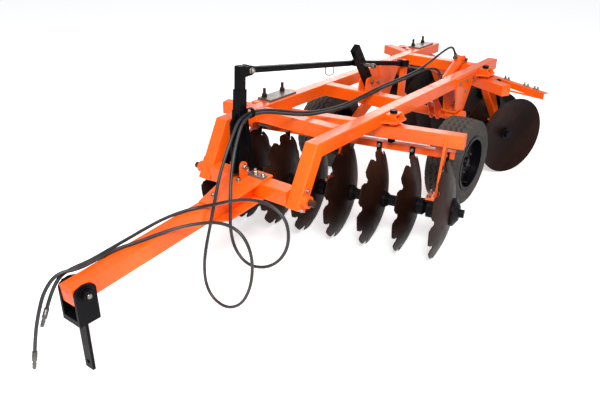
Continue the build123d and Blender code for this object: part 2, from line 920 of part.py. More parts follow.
# Scraper blades: a foot on the bar, an arm leaning into the hollow and a wide tip
tips = {
    "front": dict(first=0, radius=200, angle=40),
    "rear": dict(first=1, radius=205, angle=58),
}
for gang_name, gang in gangs.items():
    bar = bars[gang_name]
    tip = tips[gang_name]
    face = bar["rear"] - scraper_angle / 2
    turn = gang["dish"]
    tip_rear = -gang["ahead"] + tip["radius"] * cos(radians(tip["angle"]))
    tip_z = axle_z + tip["radius"] * sin(radians(tip["angle"]))
    tip_along = dish_height(tip["radius"] + scraper_blade / 2) + half + scraper_gap
    with BuildPart() as scraper_blades:
        for place in hub_places(gang)[tip["first"]:]:
            foot_along = place + turn * (dish_height(disc_radius) + scraper_arm)
            with BuildSketch(gang_upright(gang, foot_along, face - scraper_arm_plate)):
                with Locations((0, bar["top"] - scraper_foot_drop)):
                    Rectangle(scraper_arm, scraper_angle + scraper_arm, align=(Align.CENTER, Align.MAX))
            extrude(amount=-scraper_arm_plate)
            base = gang_level(gang, 0)
            start_z = bar["top"] - scraper_angle - scraper_arm / 2
            start = base.from_local_coords(Vector(foot_along, face - scraper_arm_plate, start_z))
            end = base.from_local_coords(Vector(place + turn * tip_along, tip_rear, tip_z))
            down = (end - start).normalized()
            wide = down.cross(base.x_dir).normalized()
            across_arm = turn * wide.cross(down).normalized()
            with BuildSketch(Plane(origin=start, x_dir=wide, z_dir=across_arm)) as arm:
                reach = (end - start).length
                way = 1 if arm.workplanes[0].to_local_coords(end).Y > 0 else -1
                with BuildLine():
                    Polyline(
                        (-scraper_arm / 2, -way * scraper_arm / 4),
                        (scraper_arm / 2, -way * scraper_arm / 4),
                        (scraper_arm / 2, way * (reach - scraper_blade)),
                        (scraper_blade / 2, way * (reach - scraper_arm)),
                        (scraper_blade / 2, way * reach),
                        (-scraper_blade / 2, way * reach),
                        (-scraper_blade / 2, way * (reach - scraper_arm)),
                        (-scraper_arm / 2, way * (reach - scraper_blade)),
                        close=True,
                    )
                make_face()
            extrude(amount=scraper_arm_plate)
    pieces[gang_name + "_scraper_blades"] = scraper_blades

# Brackets that carry the rock shaft: two plates at each rail over a base plate
with BuildPart() as shaft_brackets:
    for bracket_side in (1, -1):
        for plate_x in (rail_in - plate, rail_out):
            with BuildSketch(across(bracket_side * (plate_x + plate / 2))):
                with BuildLine():
                    Polyline(
                        (hanger_bracket_top[0], rail_top - tube_corner),
                        (hanger_bracket_top[1], rail_top - tube_corner),
                        (hanger_bracket_foot[1], shaft_z + block_rise + base_plate),
                        (hanger_bracket_foot[0], shaft_z + block_rise + base_plate),
                        close=True,
                    )
                make_face()
            extrude(amount=plate / 2, both=True)
        with BuildSketch(level(shaft_z + block_rise)):
            with Locations((bracket_side * rail_x, (hanger_bracket_foot[0] + hanger_bracket_foot[1]) / 2)):
                Rectangle(tube + 2 * plate, hanger_bracket_foot[1] - hanger_bracket_foot[0])
        extrude(amount=base_plate)
pieces["shaft_brackets"] = shaft_brackets

# Bearing blocks of the rock shaft under the base plates
with BuildPart() as shaft_blocks:
    for block_side in (1, -1):
        with BuildSketch(across(block_side * rail_x - block_width / 2)):
            with Locations((shaft_y, shaft_z)):
                Circle(block_rise)
                Rectangle(block_length, block_rise, align=(Align.CENTER, Align.MIN))
                Circle(shaft_diameter / 2 + pin_gap, mode=Mode.SUBTRACT)
        extrude(amount=block_width)
pieces["shaft_blocks"] = shaft_blocks

# Rock shaft with wheel arms and spindles
arm_inner = rail_out + plate + swing_gap + 4
axle_height = tyre_radius
with BuildPart() as rock_shaft:
    with BuildSketch(across(-arm_inner - arm_plate)):
        with Locations((shaft_y, shaft_z)):
            Circle(shaft_diameter / 2)
    extrude(amount=2 * (arm_inner + arm_plate))
    for arm_side in (1, -1):
        with BuildSketch(across(arm_side * arm_inner)):
            with Locations((shaft_y, shaft_z)):
                Circle(arm_shaft_end)
            with Locations((wheel_y, axle_height)):
                Circle(arm_axle_end)
            make_hull()
        extrude(amount=arm_side * arm_plate)
        with BuildSketch(across(arm_side * arm_inner)):
            with Locations((wheel_y, axle_height)):
                Circle(spindle_diameter / 2)
        extrude(amount=arm_side * (wheel_x + hub_length / 3 - arm_inner))
    for crank_side in (1, -1):
        with BuildSketch(across(cylinder_x + crank_side * cylinder_ear_gap)):
            with Locations((shaft_y, shaft_z)):
                Circle(arm_shaft_end)
            with Locations(cylinder_front):
                Circle(eye_diameter / 2 + ear_wall)
            make_hull()
        extrude(amount=crank_side * plate)
    with BuildSketch(across(cylinder_x - cylinder_ear_gap - plate - cylinder_pin / 2)):
        with Locations(cylinder_front):
            Circle(cylinder_pin / 2)
    extrude(amount=2 * (cylinder_ear_gap + plate) + cylinder_pin)
pieces["rock_shaft"] = rock_shaft

# Levelling lever on the rock shaft
with BuildPart() as levelling_lever:
    for low, high, low_radius in (
        ((shaft_y, shaft_z), lever_knee, arm_shaft_end),
        (lever_knee, lever_pin, 0),
    ):
        with BuildSketch(across(link_x - lever_plate / 2)):
            with Locations(low):
                Circle(low_radius if low_radius else lever_width / 2)
            with Locations(high):
                Circle(lever_width / 2)
            make_hull()
        extrude(amount=lever_plate)
    with BuildSketch(across(link_x - lever_plate / 2)):
        with Locations(lever_pin):
            Circle(link_pin / 2 + open_pin_gap)
        with Locations((shaft_y, shaft_z)):
            Circle(shaft_diameter / 2)
    extrude(amount=lever_plate, mode=Mode.SUBTRACT)
pieces["levelling_lever"] = levelling_lever

# Wheels: tyre and rim on each spindle
wheel_axis = Axis((0, front_y + wheel_y, axle_height), (1, 0, 0))
for side_name, wheel_side in (("left", 1), ("right", -1)):
    middle = mid_x + wheel_side * wheel_x
    upright = Plane(origin=(middle, front_y + wheel_y, axle_height), x_dir=(1, 0, 0), z_dir=(0, -1, 0))
    with BuildPart() as tyre:
        with BuildSketch(upright):
            with BuildLine():
                Polyline(
                    (-bead_width / 2, bead_radius + square_gap),
                    (bead_width / 2, bead_radius + square_gap),
                )
                for flank in (1, -1):
                    Line(
                        (flank * bead_width / 2, bead_radius + square_gap),
                        (flank * bead_width / 2, bead_radius + rim_lip + square_gap),
                    )
                    ThreePointArc(
                        (flank * bead_width / 2, bead_radius + rim_lip + square_gap),
                        (flank * tyre_width / 2, (bead_radius + rim_lip + tyre_radius) / 2),
                        (flank * (tread_width + tyre_width) / 4, tyre_radius - tread_drop * 2),
                    )
                    Line(
                        (flank * (tread_width + tyre_width) / 4, tyre_radius - tread_drop * 2),
                        (flank * tread_width / 2, tyre_radius - tread_drop / 2),
                    )
                ThreePointArc(
                    (-tread_width / 2, tyre_radius - tread_drop / 2),
                    (0, tyre_radius),
                    (tread_width / 2, tyre_radius - tread_drop / 2),
                )
            make_face()
        revolve(axis=wheel_axis)
    pieces[side_name + "_tyre"] = tyre
    with BuildPart() as rim:
        with BuildSketch(upright):
            edge = bead_width / 2 + side_gap
            with BuildLine():
                Polyline(
                    (-edge - rim_wall, bead_radius - rim_wall),
                    (-edge - rim_wall, bead_radius + rim_lip),
                    (-edge, bead_radius + rim_lip),
                    (-edge, bead_radius),
                    (edge, bead_radius),
                    (edge, bead_radius + rim_lip),
                    (edge + rim_wall, bead_radius + rim_lip),
                    (edge + rim_wall, bead_radius - rim_wall),
                    close=True,
                )
            make_face()
            inset = wheel_side * (edge + rim_wall - rim_plate_inset)
            with Locations((inset, hub_diameter / 4)):
                Rectangle(
                    plate,
                    bead_radius - rim_wall / 2 - hub_diameter / 4,
                    align=(Align.CENTER, Align.MIN),
                )
            with Locations((0, spindle_diameter / 2 + pin_gap)):
                Rectangle(
                    hub_length,
                    hub_diameter / 2 - spindle_diameter / 2 - pin_gap,
                    align=(Align.CENTER, Align.MIN),
                )
            with Locations((wheel_side * hub_length / 2, 0)):
                Rectangle(
                    hub_length / 6 - pin_gap,
                    hub_diameter * 0.4,
                    align=(Align.MAX if wheel_side > 0 else Align.MIN, Align.MIN),
                )
        revolve(axis=wheel_axis)
        wheel_face = Plane(
            origin=(middle, front_y + wheel_y, axle_height),
            x_dir=(0, 1, 0),
            z_dir=(1, 0, 0),
        )
        with BuildSketch(wheel_face):
            with PolarLocations(hand_hole_circle / 2, hand_holes):
                Circle(hand_hole / 2)
        extrude(amount=wheel_side * bead_width, mode=Mode.SUBTRACT)
    pieces[side_name + "_rim"] = rim

# Lift cylinder, drawn along the line from its rear pin to the crank
cylinder_run = Vector(0, cylinder_front[0] - cylinder_rear[0], cylinder_front[1] - cylinder_rear[1])
cylinder_length = cylinder_run.length
cylinder_rise = Vector(0, cylinder_run.Z, -cylinder_run.Y).normalized()


def along_cylinder(distance):
    """Plane square to the cylinder at a distance from its rear pin: local X to the left."""
    start = Vector(mid_x + cylinder_x, front_y + cylinder_rear[0], cylinder_rear[1])
    return Plane(
        origin=start + cylinder_run.normalized() * distance, x_dir=(1, 0, 0), z_dir=cylinder_run
    )


with BuildPart() as cylinder_barrel:
    with BuildSketch(along_cylinder(barrel_start)):
        Circle(barrel_diameter / 2)
    extrude(amount=barrel_end - barrel_start)
    with BuildSketch(along_cylinder(0)):
        Rectangle(eye_width, eye_diameter * 0.9)
    extrude(amount=barrel_start)
    with BuildSketch(across(cylinder_x - eye_width / 2)):
        with Locations(cylinder_rear):
            Circle(eye_diameter / 2)
    extrude(amount=eye_width)
    with BuildSketch(across(cylinder_x - cylinder_ear_gap - plate - cylinder_pin / 2)):
        with Locations(cylinder_rear):
            Circle(cylinder_pin / 2)
    extrude(amount=2 * (cylinder_ear_gap + plate) + cylinder_pin)
    for port_place in port_places:
        foot = along_cylinder(port_place).origin
        with BuildSketch(Plane(origin=foot, x_dir=(1, 0, 0), z_dir=cylinder_rise)):
            Circle(port_diameter / 2)
        extrude(amount=barrel_diameter / 2 + port_height)
    with BuildSketch(along_cylinder(barrel_bore_start)):
        Circle(rod_diameter / 2 + pin_gap)
    extrude(amount=barrel_end - barrel_bore_start, mode=Mode.SUBTRACT)
pieces["cylinder_barrel"] = cylinder_barrel

with BuildPart() as cylinder_rod:
    with BuildSketch(along_cylinder(rod_inner_end)):
        Circle(rod_diameter / 2)
    extrude(amount=cylinder_length - rod_inner_end)
    with BuildSketch(across(cylinder_x - eye_width / 2)):
        with Locations(cylinder_front):
            Circle(eye_diameter / 2)
    extrude(amount=eye_width)
    with BuildSketch(across(cylinder_x - eye_width / 2)):
        with Locations(cylinder_front):
            Circle(cylinder_pin / 2 + rod_eye_gap)
    extrude(amount=eye_width, mode=Mode.SUBTRACT)
pieces["cylinder_rod"] = cylinder_rod

# Rocker: leaning bar with a row of holes, its pivot pin and the bolt of the links
lean = radians(rocker_lean)
rocker_up = (-sin(lean), cos(lean))
bolt_height = rocker_hole_start + rocker_bolt_hole * rocker_hole_pitch
link_bolt = (
    rocker_pivot[0] + bolt_height * rocker_up[0],
    rocker_pivot[1] + bolt_height * rocker_up[1],
)
rocker_plane = Plane(
    origin=(mid_x + rocker_x - rocker_side / 2, front_y + rocker_pivot[0], rocker_pivot[1]),
    x_dir=(0, cos(lean), sin(lean)),
    z_dir=(1, 0, 0),
)
with BuildPart() as rocker:
    with BuildSketch(rocker_plane):
        with Locations((0, (rocker_length - rocker_foot) / 2)):
            Rectangle(rocker_width, rocker_length + rocker_foot)
        for number in range(rocker_hole_count):
            with Locations((0, rocker_hole_start + number * rocker_hole_pitch)):
                Circle(rocker_hole / 2, mode=Mode.SUBTRACT)
    extrude(amount=rocker_side)
    with BuildSketch(across(rocker_x - ear_gap - plate - link_pin / 2)):
        with Locations(rocker_pivot):
            Circle(link_pin / 2)
    extrude(amount=2 * (ear_gap + plate) + link_pin)
    with BuildSketch(across(link_x - link_side / 2 - link_pin)):
        with Locations(link_bolt):
            Circle(rocker_hole / 2)
    extrude(amount=rocker_x + rocker_side / 2 + rocker_bolt_reach - link_x + link_side / 2 + link_pin)
pieces["rocker"] = rocker


def link_plane(start, end, x):
    """Upright plane of a link: origin at its start pin, local X along it, facing left."""
    run = Vector(0, end[0] - start[0], end[1] - start[1])
    return Plane(origin=(mid_x + x, front_y + start[0], start[1]), x_dir=run, z_dir=(1, 0, 0))


# Front link: square tube with an eye at the tower and a half eye at the rocker
front_length = hypot(link_bolt[0] - tower_pin[0], link_bolt[1] - tower_pin[1])
with BuildPart() as front_link:
    with BuildSketch(link_plane(tower_pin, link_bolt, link_x - link_side / 2)):
        Circle(link_eye)
        with Locations((front_length / 2 - link_side, 0)):
            Rectangle(front_length - 2 * link_side, link_side)
        Circle(link_pin / 2 + open_pin_gap, mode=Mode.SUBTRACT)
    extrude(amount=link_side)
    with BuildSketch(link_plane(tower_pin, link_bolt, link_x - link_side / 2)):
        with Locations((front_length, 0)):
            Circle(link_side * 0.7)
        with Locations((front_length - link_side, 0)):
            Rectangle(2 * link_side, link_side)
        with Locations((front_length, 0)):
            Circle(rocker_hole / 2 + pin_gap, mode=Mode.SUBTRACT)
    extrude(amount=link_side / 2 - side_gap / 2)
pieces["front_link"] = front_link

# Rear link: half eye at the rocker, square tube, fork and pin at the lever
rear_length = hypot(lever_pin[0] - link_bolt[0], lever_pin[1] - link_bolt[1])
fork_gap = lever_plate / 2 + side_gap
fork_reach = lever_width / 2 + swing_gap + fork_root
with BuildPart() as rear_link:
    with BuildSketch(link_plane(link_bolt, lever_pin, link_x + side_gap / 2)):
        Circle(link_side * 0.7)
        with Locations((link_side, 0)):
            Rectangle(2 * link_side, link_side)
        Circle(rocker_hole / 2 + pin_gap, mode=Mode.SUBTRACT)
    extrude(amount=link_side / 2 - side_gap / 2)
    with BuildSketch(link_plane(link_bolt, lever_pin, link_x - link_side / 2)):
        with Locations((rear_length - fork_reach, 0)):
            Rectangle(rear_length - fork_reach - 2 * link_side, link_side, align=(Align.MAX, Align.CENTER))
    extrude(amount=link_side)
    with BuildSketch(link_plane(link_bolt, lever_pin, link_x - fork_gap - fork_plate)):
        with Locations((rear_length - fork_reach - fork_root, 0)):
            Rectangle(20, fork_height, align=(Align.MIN, Align.CENTER))
    extrude(amount=2 * (fork_gap + fork_plate))
    for fork_side in (1, -1):
        with BuildSketch(link_plane(link_bolt, lever_pin, link_x + fork_side * fork_gap)):
            with Locations((rear_length - fork_reach, 0)):
                Rectangle(fork_reach + fork_height / 2, fork_height, align=(Align.MIN, Align.CENTER))
        extrude(amount=fork_side * fork_plate)
    with BuildSketch(link_plane(link_bolt, lever_pin, link_x - fork_gap - fork_plate - link_pin_end)):
        with Locations((rear_length, 0)):
            Circle(link_pin / 2)
    extrude(amount=2 * (fork_gap + fork_plate + link_pin_end))
pieces["rear_link"] = rear_link

# Drawbar head: cross tube between the rail feet with an upper and a lower plate
with BuildPart() as drawbar_head:
    with BuildSketch(drawbar_across(-(rail_in - swing_gap))):
        Rectangle(head_tube, head_tube)
    extrude(amount=2 * (rail_in - swing_gap))
    fillet(drawbar_head.edges().filter_by(Axis.X), tube_corner)
    for plate_low in (head_tube / 2, -head_tube / 2 - plate):
        with BuildSketch(drawbar_level(plate_low)):
            with BuildLine():
                Polyline(*head_plate, close=True)
            make_face()
        extrude(amount=plate)
    for bore_side in (1, -1):
        with BuildSketch(across(bore_side * rail_x)):
            with Locations((drawbar_pin_y, drawbar_pin_z)):
                Circle(pin_diameter / 2 + pin_gap)
        extrude(amount=-bore_side * (tube / 2 + pin_reach + side_gap), mode=Mode.SUBTRACT)
    for ear_side in (1, -1):
        with BuildSketch(across(tower_x + ear_side * (sleeve_side / 2 + side_gap))):
            with Locations((tower_foot_y, foot_ear_z)):
                Circle(foot_ear_radius)
            with Locations((tower_foot_y, head_top + plate / 2)):
                Rectangle(2 * foot_ear_radius, plate)
            make_hull()
            with Locations((tower_foot_y, foot_ear_z)):
                Circle(link_pin / 2 + pin_gap, mode=Mode.SUBTRACT)
        extrude(amount=ear_side * plate)
pieces["drawbar_head"] = drawbar_head

# Drawbar tongue
with BuildPart() as drawbar_tongue:
    with BuildSketch(drawbar_level(-head_tube / 2)):
        with Locations((0, tongue_front)):
            Rectangle(tongue_width, -tongue_front - head_tube / 2, align=(Align.CENTER, Align.MIN))
    extrude(amount=head_tube)
    fillet(drawbar_tongue.edges().filter_by(lambda edge: edge.length > head_tube * 2), tube_corner)
    with BuildSketch(drawbar_across(-tongue_width)):
        with Locations((hitch_pin_y, 0)):
            Circle(hitch_pin / 2 + pin_gap)
    extrude(amount=2 * tongue_width, mode=Mode.SUBTRACT)
pieces["drawbar_tongue"] = drawbar_tongue

# Saddle plate across the head tube
with BuildPart() as saddle_plate:
    with BuildSketch(drawbar_level(head_tube / 2 + plate)):
        Rectangle(saddle_length, saddle_width)
    extrude(amount=plate)
pieces["saddle_plate"] = saddle_plate

# Tower: leaning post, wider sleeve below, front plate, foot bolt and the ears of the front link
post_foot = (tower_foot_y, tower_bottom)
post_head = (tower_head_y, tower_top)
post_plane = Plane(
    origin=(mid_x + tower_x, front_y + post_foot[0], post_foot[1]),
    x_dir=(1, 0, 0),
    z_dir=(0, post_head[0] - post_foot[0], post_head[1] - post_foot[1]),
)
with BuildPart() as tower:
    with BuildSketch(post_plane):
        Rectangle(tower_side, tower_side)
    extrude(amount=tower_top - tower_bottom)
    with BuildSketch(post_plane):
        Rectangle(sleeve_side, sleeve_side)
    extrude(amount=sleeve_top - tower_bottom)
    with BuildSketch(across(tower_x - plate / 2)):
        with BuildLine():
            Polyline(
                (tower_foot_y, tower_bottom),
                (tower_foot_y - gusset_reach, tower_bottom + plate),
                (tower_foot_y - gusset_reach, gusset_top - gusset_reach),
                (tower_foot_y, gusset_top),
                close=True,
            )
        make_face()
    extrude(amount=plate)
    with BuildSketch(across(tower_x - sleeve_side / 2 - plate - link_pin)):
        with Locations((tower_foot_y, foot_ear_z)):
            Circle(link_pin / 2)
    extrude(amount=sleeve_side + 2 * (plate + link_pin))
    for ear_side in (1, -1):
        with BuildSketch(across(link_x + ear_side * (link_side / 2 + side_gap))):
            with Locations(tower_pin):
                Circle(link_eye)
            with Locations((tower_head_y + tower_side / 2 - ear_root, tower_pin[1])):
                Rectangle(2 * ear_root, 2 * link_eye, align=(Align.MIN, Align.CENTER))
            make_hull()
        extrude(amount=ear_side * plate)
    with BuildSketch(across(link_x - link_side / 2 - side_gap)):
        with Locations((tower_head_y + tower_side / 2 - ear_root, tower_pin[1])):
            Rectangle(2 * ear_root, 2 * link_eye, align=(Align.MIN, Align.CENTER))
    extrude(amount=link_side + 2 * side_gap)
    with BuildSketch(across(link_x - link_side / 2 - plate - tower_pin_end)):
        with Locations(tower_pin):
            Circle(link_pin / 2)
    extrude(amount=link_side + 2 * (plate + tower_pin_end))
pieces["tower"] = tower

# Brace from the tower down to the drawbar head
with BuildPart() as tower_brace:
    with BuildSketch(across(tower_x + sleeve_side / 2)):
        with BuildLine():
            Polyline(
                (brace_top[0] - brace_width / 2, brace_top[1]),
                (brace_top[0] + brace_width / 2, brace_top[1]),
                (brace_foot[0] + brace_width / 2, brace_foot[1]),
                (brace_foot[0] - brace_width / 2, brace_foot[1]),
                close=True,
            )
        make_face()
    extrude(amount=plate)
pieces["tower_brace"] = tower_brace

# Ring on the tower that gathers the hoses
with BuildPart() as hose_ring:
    with BuildSketch(
        Plane(
            origin=(mid_x + ring_place[0], front_y + ring_place[1] - ring_band / 2, ring_place[2]),
            x_dir=(-1, 0, 0),
            z_dir=(0, 1, 0),
        )
    ):
        Circle(ring_diameter / 2)
        Circle(ring_diameter / 2 - ring_wall, mode=Mode.SUBTRACT)
    extrude(amount=ring_band)
pieces["hose_ring"] = hose_ring

# Hitch clevis: U of two cheeks and a thick base, with the cross pin through the tongue
hitch_place = drawbar_level(0).from_local_coords((0, hitch_pin_y, 0))
cheek_gap = tongue_width / 2 + 3
clevis_bottom = hitch_place.Z - clevis_drop


def at_hitch(x):
    """Upright plane through the hitch pin: local X to the rear, local Y up, facing left."""
    return Plane(origin=(mid_x + x, hitch_place.Y, hitch_place.Z), x_dir=(0, 1, 0), z_dir=(1, 0, 0))


with BuildPart() as hitch_clevis:
    for cheek_side in (1, -1):
        with BuildSketch(at_hitch(cheek_side * cheek_gap)):
            Circle(clevis_head)
            for corner_side in (1, -1):
                with Locations((corner_side * (clevis_length / 2 - clevis_corner), clevis_corner_up)):
                    Circle(clevis_corner)
            with Locations((0, -clevis_drop)):
                Rectangle(clevis_length, clevis_base, align=(Align.CENTER, Align.MIN))
            make_hull()
        extrude(amount=cheek_side * clevis_plate)
    with BuildSketch(at_hitch(-cheek_gap)):
        with Locations((0, -clevis_drop)):
            Rectangle(clevis_length, clevis_base, align=(Align.CENTER, Align.MIN))
    extrude(amount=2 * cheek_gap)
    with BuildSketch(at_hitch(-cheek_gap - clevis_plate)):
        Circle(hitch_pin / 2)
    extrude(amount=2 * (cheek_gap + clevis_plate))
    for nut_side in (1, -1):
        with BuildSketch(at_hitch(nut_side * (cheek_gap + clevis_plate))):
            RegularPolygon(hitch_nut / 2, 6, major_radius=False)
        extrude(amount=nut_side * hitch_nut_length)
    with BuildSketch(Plane(origin=(mid_x, hitch_place.Y, clevis_bottom))):
        Circle(swivel_bolt / 2 + pin_gap)
    extrude(amount=clevis_base, mode=Mode.SUBTRACT)
pieces["hitch_clevis"] = hitch_clevis

# Hanging tongue bar of the hitch on its swivel bolt, with a bore near the tip
with BuildPart() as hitch_bar:
    with BuildSketch(Plane(origin=(mid_x, hitch_place.Y, eye_bar_end))):
        Rectangle(eye_bar_width, eye_bar_plate)
    extrude(amount=clevis_bottom - side_gap - eye_bar_end)
    with BuildSketch(Plane(origin=(mid_x, hitch_place.Y, clevis_bottom - side_gap))):
        Rectangle(eye_bar_width + collar_lip, eye_bar_plate + collar_depth)
    extrude(amount=-collar_height)
    with BuildSketch(Plane(origin=(mid_x, hitch_place.Y, clevis_bottom - side_gap))):
        Circle(swivel_bolt / 2)
    extrude(amount=clevis_base + 2 * side_gap)
    with BuildSketch(Plane(origin=(mid_x, hitch_place.Y, clevis_bottom + clevis_base + side_gap))):
        Circle(swivel_head / 2)
    extrude(amount=swivel_head_height)
    with BuildSketch(
        Plane(
            origin=(mid_x, hitch_place.Y - eye_bar_plate, eye_bar_end + eye_bore_height),
            x_dir=(1, 0, 0),
            z_dir=(0, 1, 0),
        )
    ):
        Circle(eye_bore / 2)
    extrude(amount=2 * eye_bar_plate, mode=Mode.SUBTRACT)
pieces["hitch_bar"] = hitch_bar


def hose_run(points):
    """Corner points of a hose in the part's own frame."""
    return [Vector(mid_x + point[0], front_y + point[1], point[2]) for point in points]


def into_port(place):
    """The last two corner points of a hose that ends square on a cylinder port."""
    foot = along_cylinder(place).origin
    mouth = foot + cylinder_rise * (barrel_diameter / 2 + port_height)
    return [mouth + cylinder_rise * port_run, mouth]


def corner_radius(before, corner, after):
    """Radius of a hose's bend at a corner: 0.45 of the shorter run over the half turn's tangent."""
    first = corner - before
    second = after - corner
    half_turn = radians(first.get_angle(second)) / 2
    return 0.45 * min(first.length, second.length) / tan(half_turn)


# Hoses as round tubes along straight runs with an arc at each corner
for hose_name, points in hoses.items():
    run = hose_run(points)
    if hose_name in hose_ports:
        run = run + into_port(hose_ports[hose_name])
    radii = [corner_radius(*run[number - 1 : number + 2]) for number in range(1, len(run) - 1)]
    with BuildPart() as hose:
        with BuildLine() as path:
            FilletPolyline(*run, radius=radii)
        with BuildSketch(Plane(origin=run[0], z_dir=run[1] - run[0])):
            Circle(hose_diameter / 2)
        sweep()
    pieces[hose_name] = hose
    section = pi * hose_diameter**2 / 4
    hose_length = sum(edge.length for edge in path.line.edges())
    print(
        hose_name,
        "length",
        round(hose_length),
        "volume share",
        round(hose.part.volume / (section * hose_length), 4),
        "radii",
        [round(radius) for radius in radii],
    )

# Couplers on the free ends of the front hoses
with BuildPart() as hose_couplers:
    for hose_name in ("front_hose_1", "front_hose_2"):
        run = hose_run(hoses[hose_name])
        with BuildSketch(Plane(origin=run[-1], z_dir=run[-1] - run[-2])):
            Circle(coupler_diameter / 2)
        extrude(amount=coupler_length * 0.4)
        with BuildSketch(Plane(origin=run[-1], z_dir=run[-1] - run[-2]).offset(coupler_length * 0.4)):
            Circle(coupler_diameter * 0.4)
        extrude(amount=coupler_length * 0.6)
pieces["hose_couplers"] = hose_couplers

for name, piece in pieces.items():
    piece.part.label = name
os.makedirs("parts", exist_ok=True)
for name, piece in pieces.items():
    export_step(piece.part, "parts/" + name + ".step")
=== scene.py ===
import json
from math import cos, pi, radians, sin, tan

import bpy
import numpy as np
from mathutils import Matrix, Vector


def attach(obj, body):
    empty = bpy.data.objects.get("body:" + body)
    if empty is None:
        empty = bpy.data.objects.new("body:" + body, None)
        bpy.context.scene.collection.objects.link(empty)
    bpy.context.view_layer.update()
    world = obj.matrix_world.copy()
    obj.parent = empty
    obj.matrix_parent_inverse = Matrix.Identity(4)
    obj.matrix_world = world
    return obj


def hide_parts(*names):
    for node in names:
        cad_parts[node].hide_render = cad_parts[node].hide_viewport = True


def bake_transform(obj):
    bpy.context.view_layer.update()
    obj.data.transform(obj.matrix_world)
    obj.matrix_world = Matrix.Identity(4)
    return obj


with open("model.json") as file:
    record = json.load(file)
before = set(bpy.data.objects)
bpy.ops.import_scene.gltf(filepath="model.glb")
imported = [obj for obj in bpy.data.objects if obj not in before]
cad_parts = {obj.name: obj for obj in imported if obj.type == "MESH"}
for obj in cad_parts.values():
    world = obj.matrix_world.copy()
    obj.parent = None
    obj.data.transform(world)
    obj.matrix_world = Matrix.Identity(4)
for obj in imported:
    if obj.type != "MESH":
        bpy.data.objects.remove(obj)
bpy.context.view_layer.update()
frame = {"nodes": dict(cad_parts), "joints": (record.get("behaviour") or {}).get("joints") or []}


# Camera: the photograph looks at the machine from its front left, from a little above
# the tower, with a lens of about 37 mm on a 36 mm wide sensor. Its place is measured from
# the crossing of the front gang beam and the middle plane, as most places below are.
def add_object(name, data):
    """A new object at the origin that holds a mesh, a curve, a lamp or a camera."""
    made = bpy.data.objects.new(name, data)
    bpy.context.collection.objects.link(made)
    return made


crossing = Vector((-0.064, -0.298, 0.0))
eye = crossing + Vector((2.2758, -3.3959, 2.1301))
turn, dip, roll = radians(36.716), radians(25.952), radians(0.742)
sensor_width = 36.0
focal_pixels, photo_pixels = 610.7, 600
ahead = Vector((-sin(turn) * cos(dip), cos(turn) * cos(dip), -sin(dip)))
level_right = Vector((cos(turn), sin(turn), 0.0))
level_up = level_right.cross(ahead)
view_right = level_right * cos(roll) + level_up * sin(roll)
view_up = view_right.cross(ahead)
camera_data = bpy.data.cameras.new("photo_camera")
camera_data.sensor_width = sensor_width
camera_data.lens = sensor_width * focal_pixels / photo_pixels
camera = add_object("photo_camera", camera_data)
bpy.context.scene.camera = camera
camera.matrix_world = Matrix.Translation(eye) @ Matrix((view_right, view_up, -ahead)).transposed().to_4x4()


# Studio: a pale floor that runs out to a white background, an even white surround and
# two large soft lamps, one over the front left and one low over the rear right.
def feed(tree, node, inputs):
    """Gives each named input of a node its value, or a link from another node's output."""
    for socket, value in inputs.items():
        if isinstance(value, bpy.types.NodeSocket):
            tree.links.new(value, node.inputs[socket])
        else:
            node.inputs[socket].default_value = value


def add_node(tree, kind, inputs=None, **settings):
    """A new shader node of a kind, with its settings and its inputs."""
    node = tree.nodes.new("ShaderNode" + kind)
    for setting, value in settings.items():
        setattr(node, setting, value)
    feed(tree, node, inputs or {})
    return node


bpy.context.scene.view_settings.view_transform = "Standard"
world = bpy.data.worlds.new("studio")
bpy.context.scene.world = world
world.use_nodes = True
sky = world.node_tree
sky.nodes.clear()
seen = add_node(sky, "Background", {"Color": (1.0, 1.0, 1.0, 1.0), "Strength": 1.0})
lighting = add_node(sky, "Background", {"Color": (0.95, 0.97, 1.0, 1.0), "Strength": 0.46})
rays = add_node(sky, "LightPath")
surround = add_node(
    sky, "MixShader", {0: rays.outputs["Is Camera Ray"], 1: lighting.outputs[0], 2: seen.outputs[0]}
)
add_node(sky, "OutputWorld", {"Surface": surround.outputs[0]})

floor_reach = 60
floor_corners = [(x * floor_reach, y * floor_reach, 0) for x, y in ((-1, -1), (1, -1), (1, 1), (-1, 1))]
floor_mesh = bpy.data.meshes.new("floor")
floor_mesh.from_pydata(floor_corners, [], [(0, 1, 2, 3)])
floor = add_object("floor", floor_mesh)
floor_paint = bpy.data.materials.new("floor_paint")
floor_paint.use_nodes = True
floor_tree = floor_paint.node_tree
floor_rays = add_node(floor_tree, "LightPath")
floor_glow = add_node(
    floor_tree, "MapRange", {"To Min": 0.12, "To Max": 0.52, "Value": floor_rays.outputs["Is Camera Ray"]}
)
feed(
    floor_tree,
    floor_tree.nodes["Principled BSDF"],
    {
        "Base Color": (0.93, 0.93, 0.93, 1.0),
        "Roughness": 0.9,
        "Specular IOR Level": 0.1,
        "Emission Color": (1.0, 1.0, 1.0, 1.0),
        "Emission Strength": floor_glow.outputs["Result"],
    },
)
floor_mesh.materials.append(floor_paint)

for lamp_name, place, aim, side, power in (
    ("front_lamp", (3.2, -4.4, 5.2), (0.0, -0.4, 0.5), 2.4, 540.0),
    ("rear_lamp", (-3.4, 5.4, 3.6), (0.0, 0.2, 0.6), 3.6, 120.0),
):
    lamp_data = bpy.data.lights.new(lamp_name, "AREA")
    lamp_data.size = side
    lamp_data.energy = power
    lamp = add_object(lamp_name, lamp_data)
    lamp.location = place
    lamp.rotation_euler = (Vector(aim) - Vector(place)).to_track_quat("-Z", "Y").to_euler()


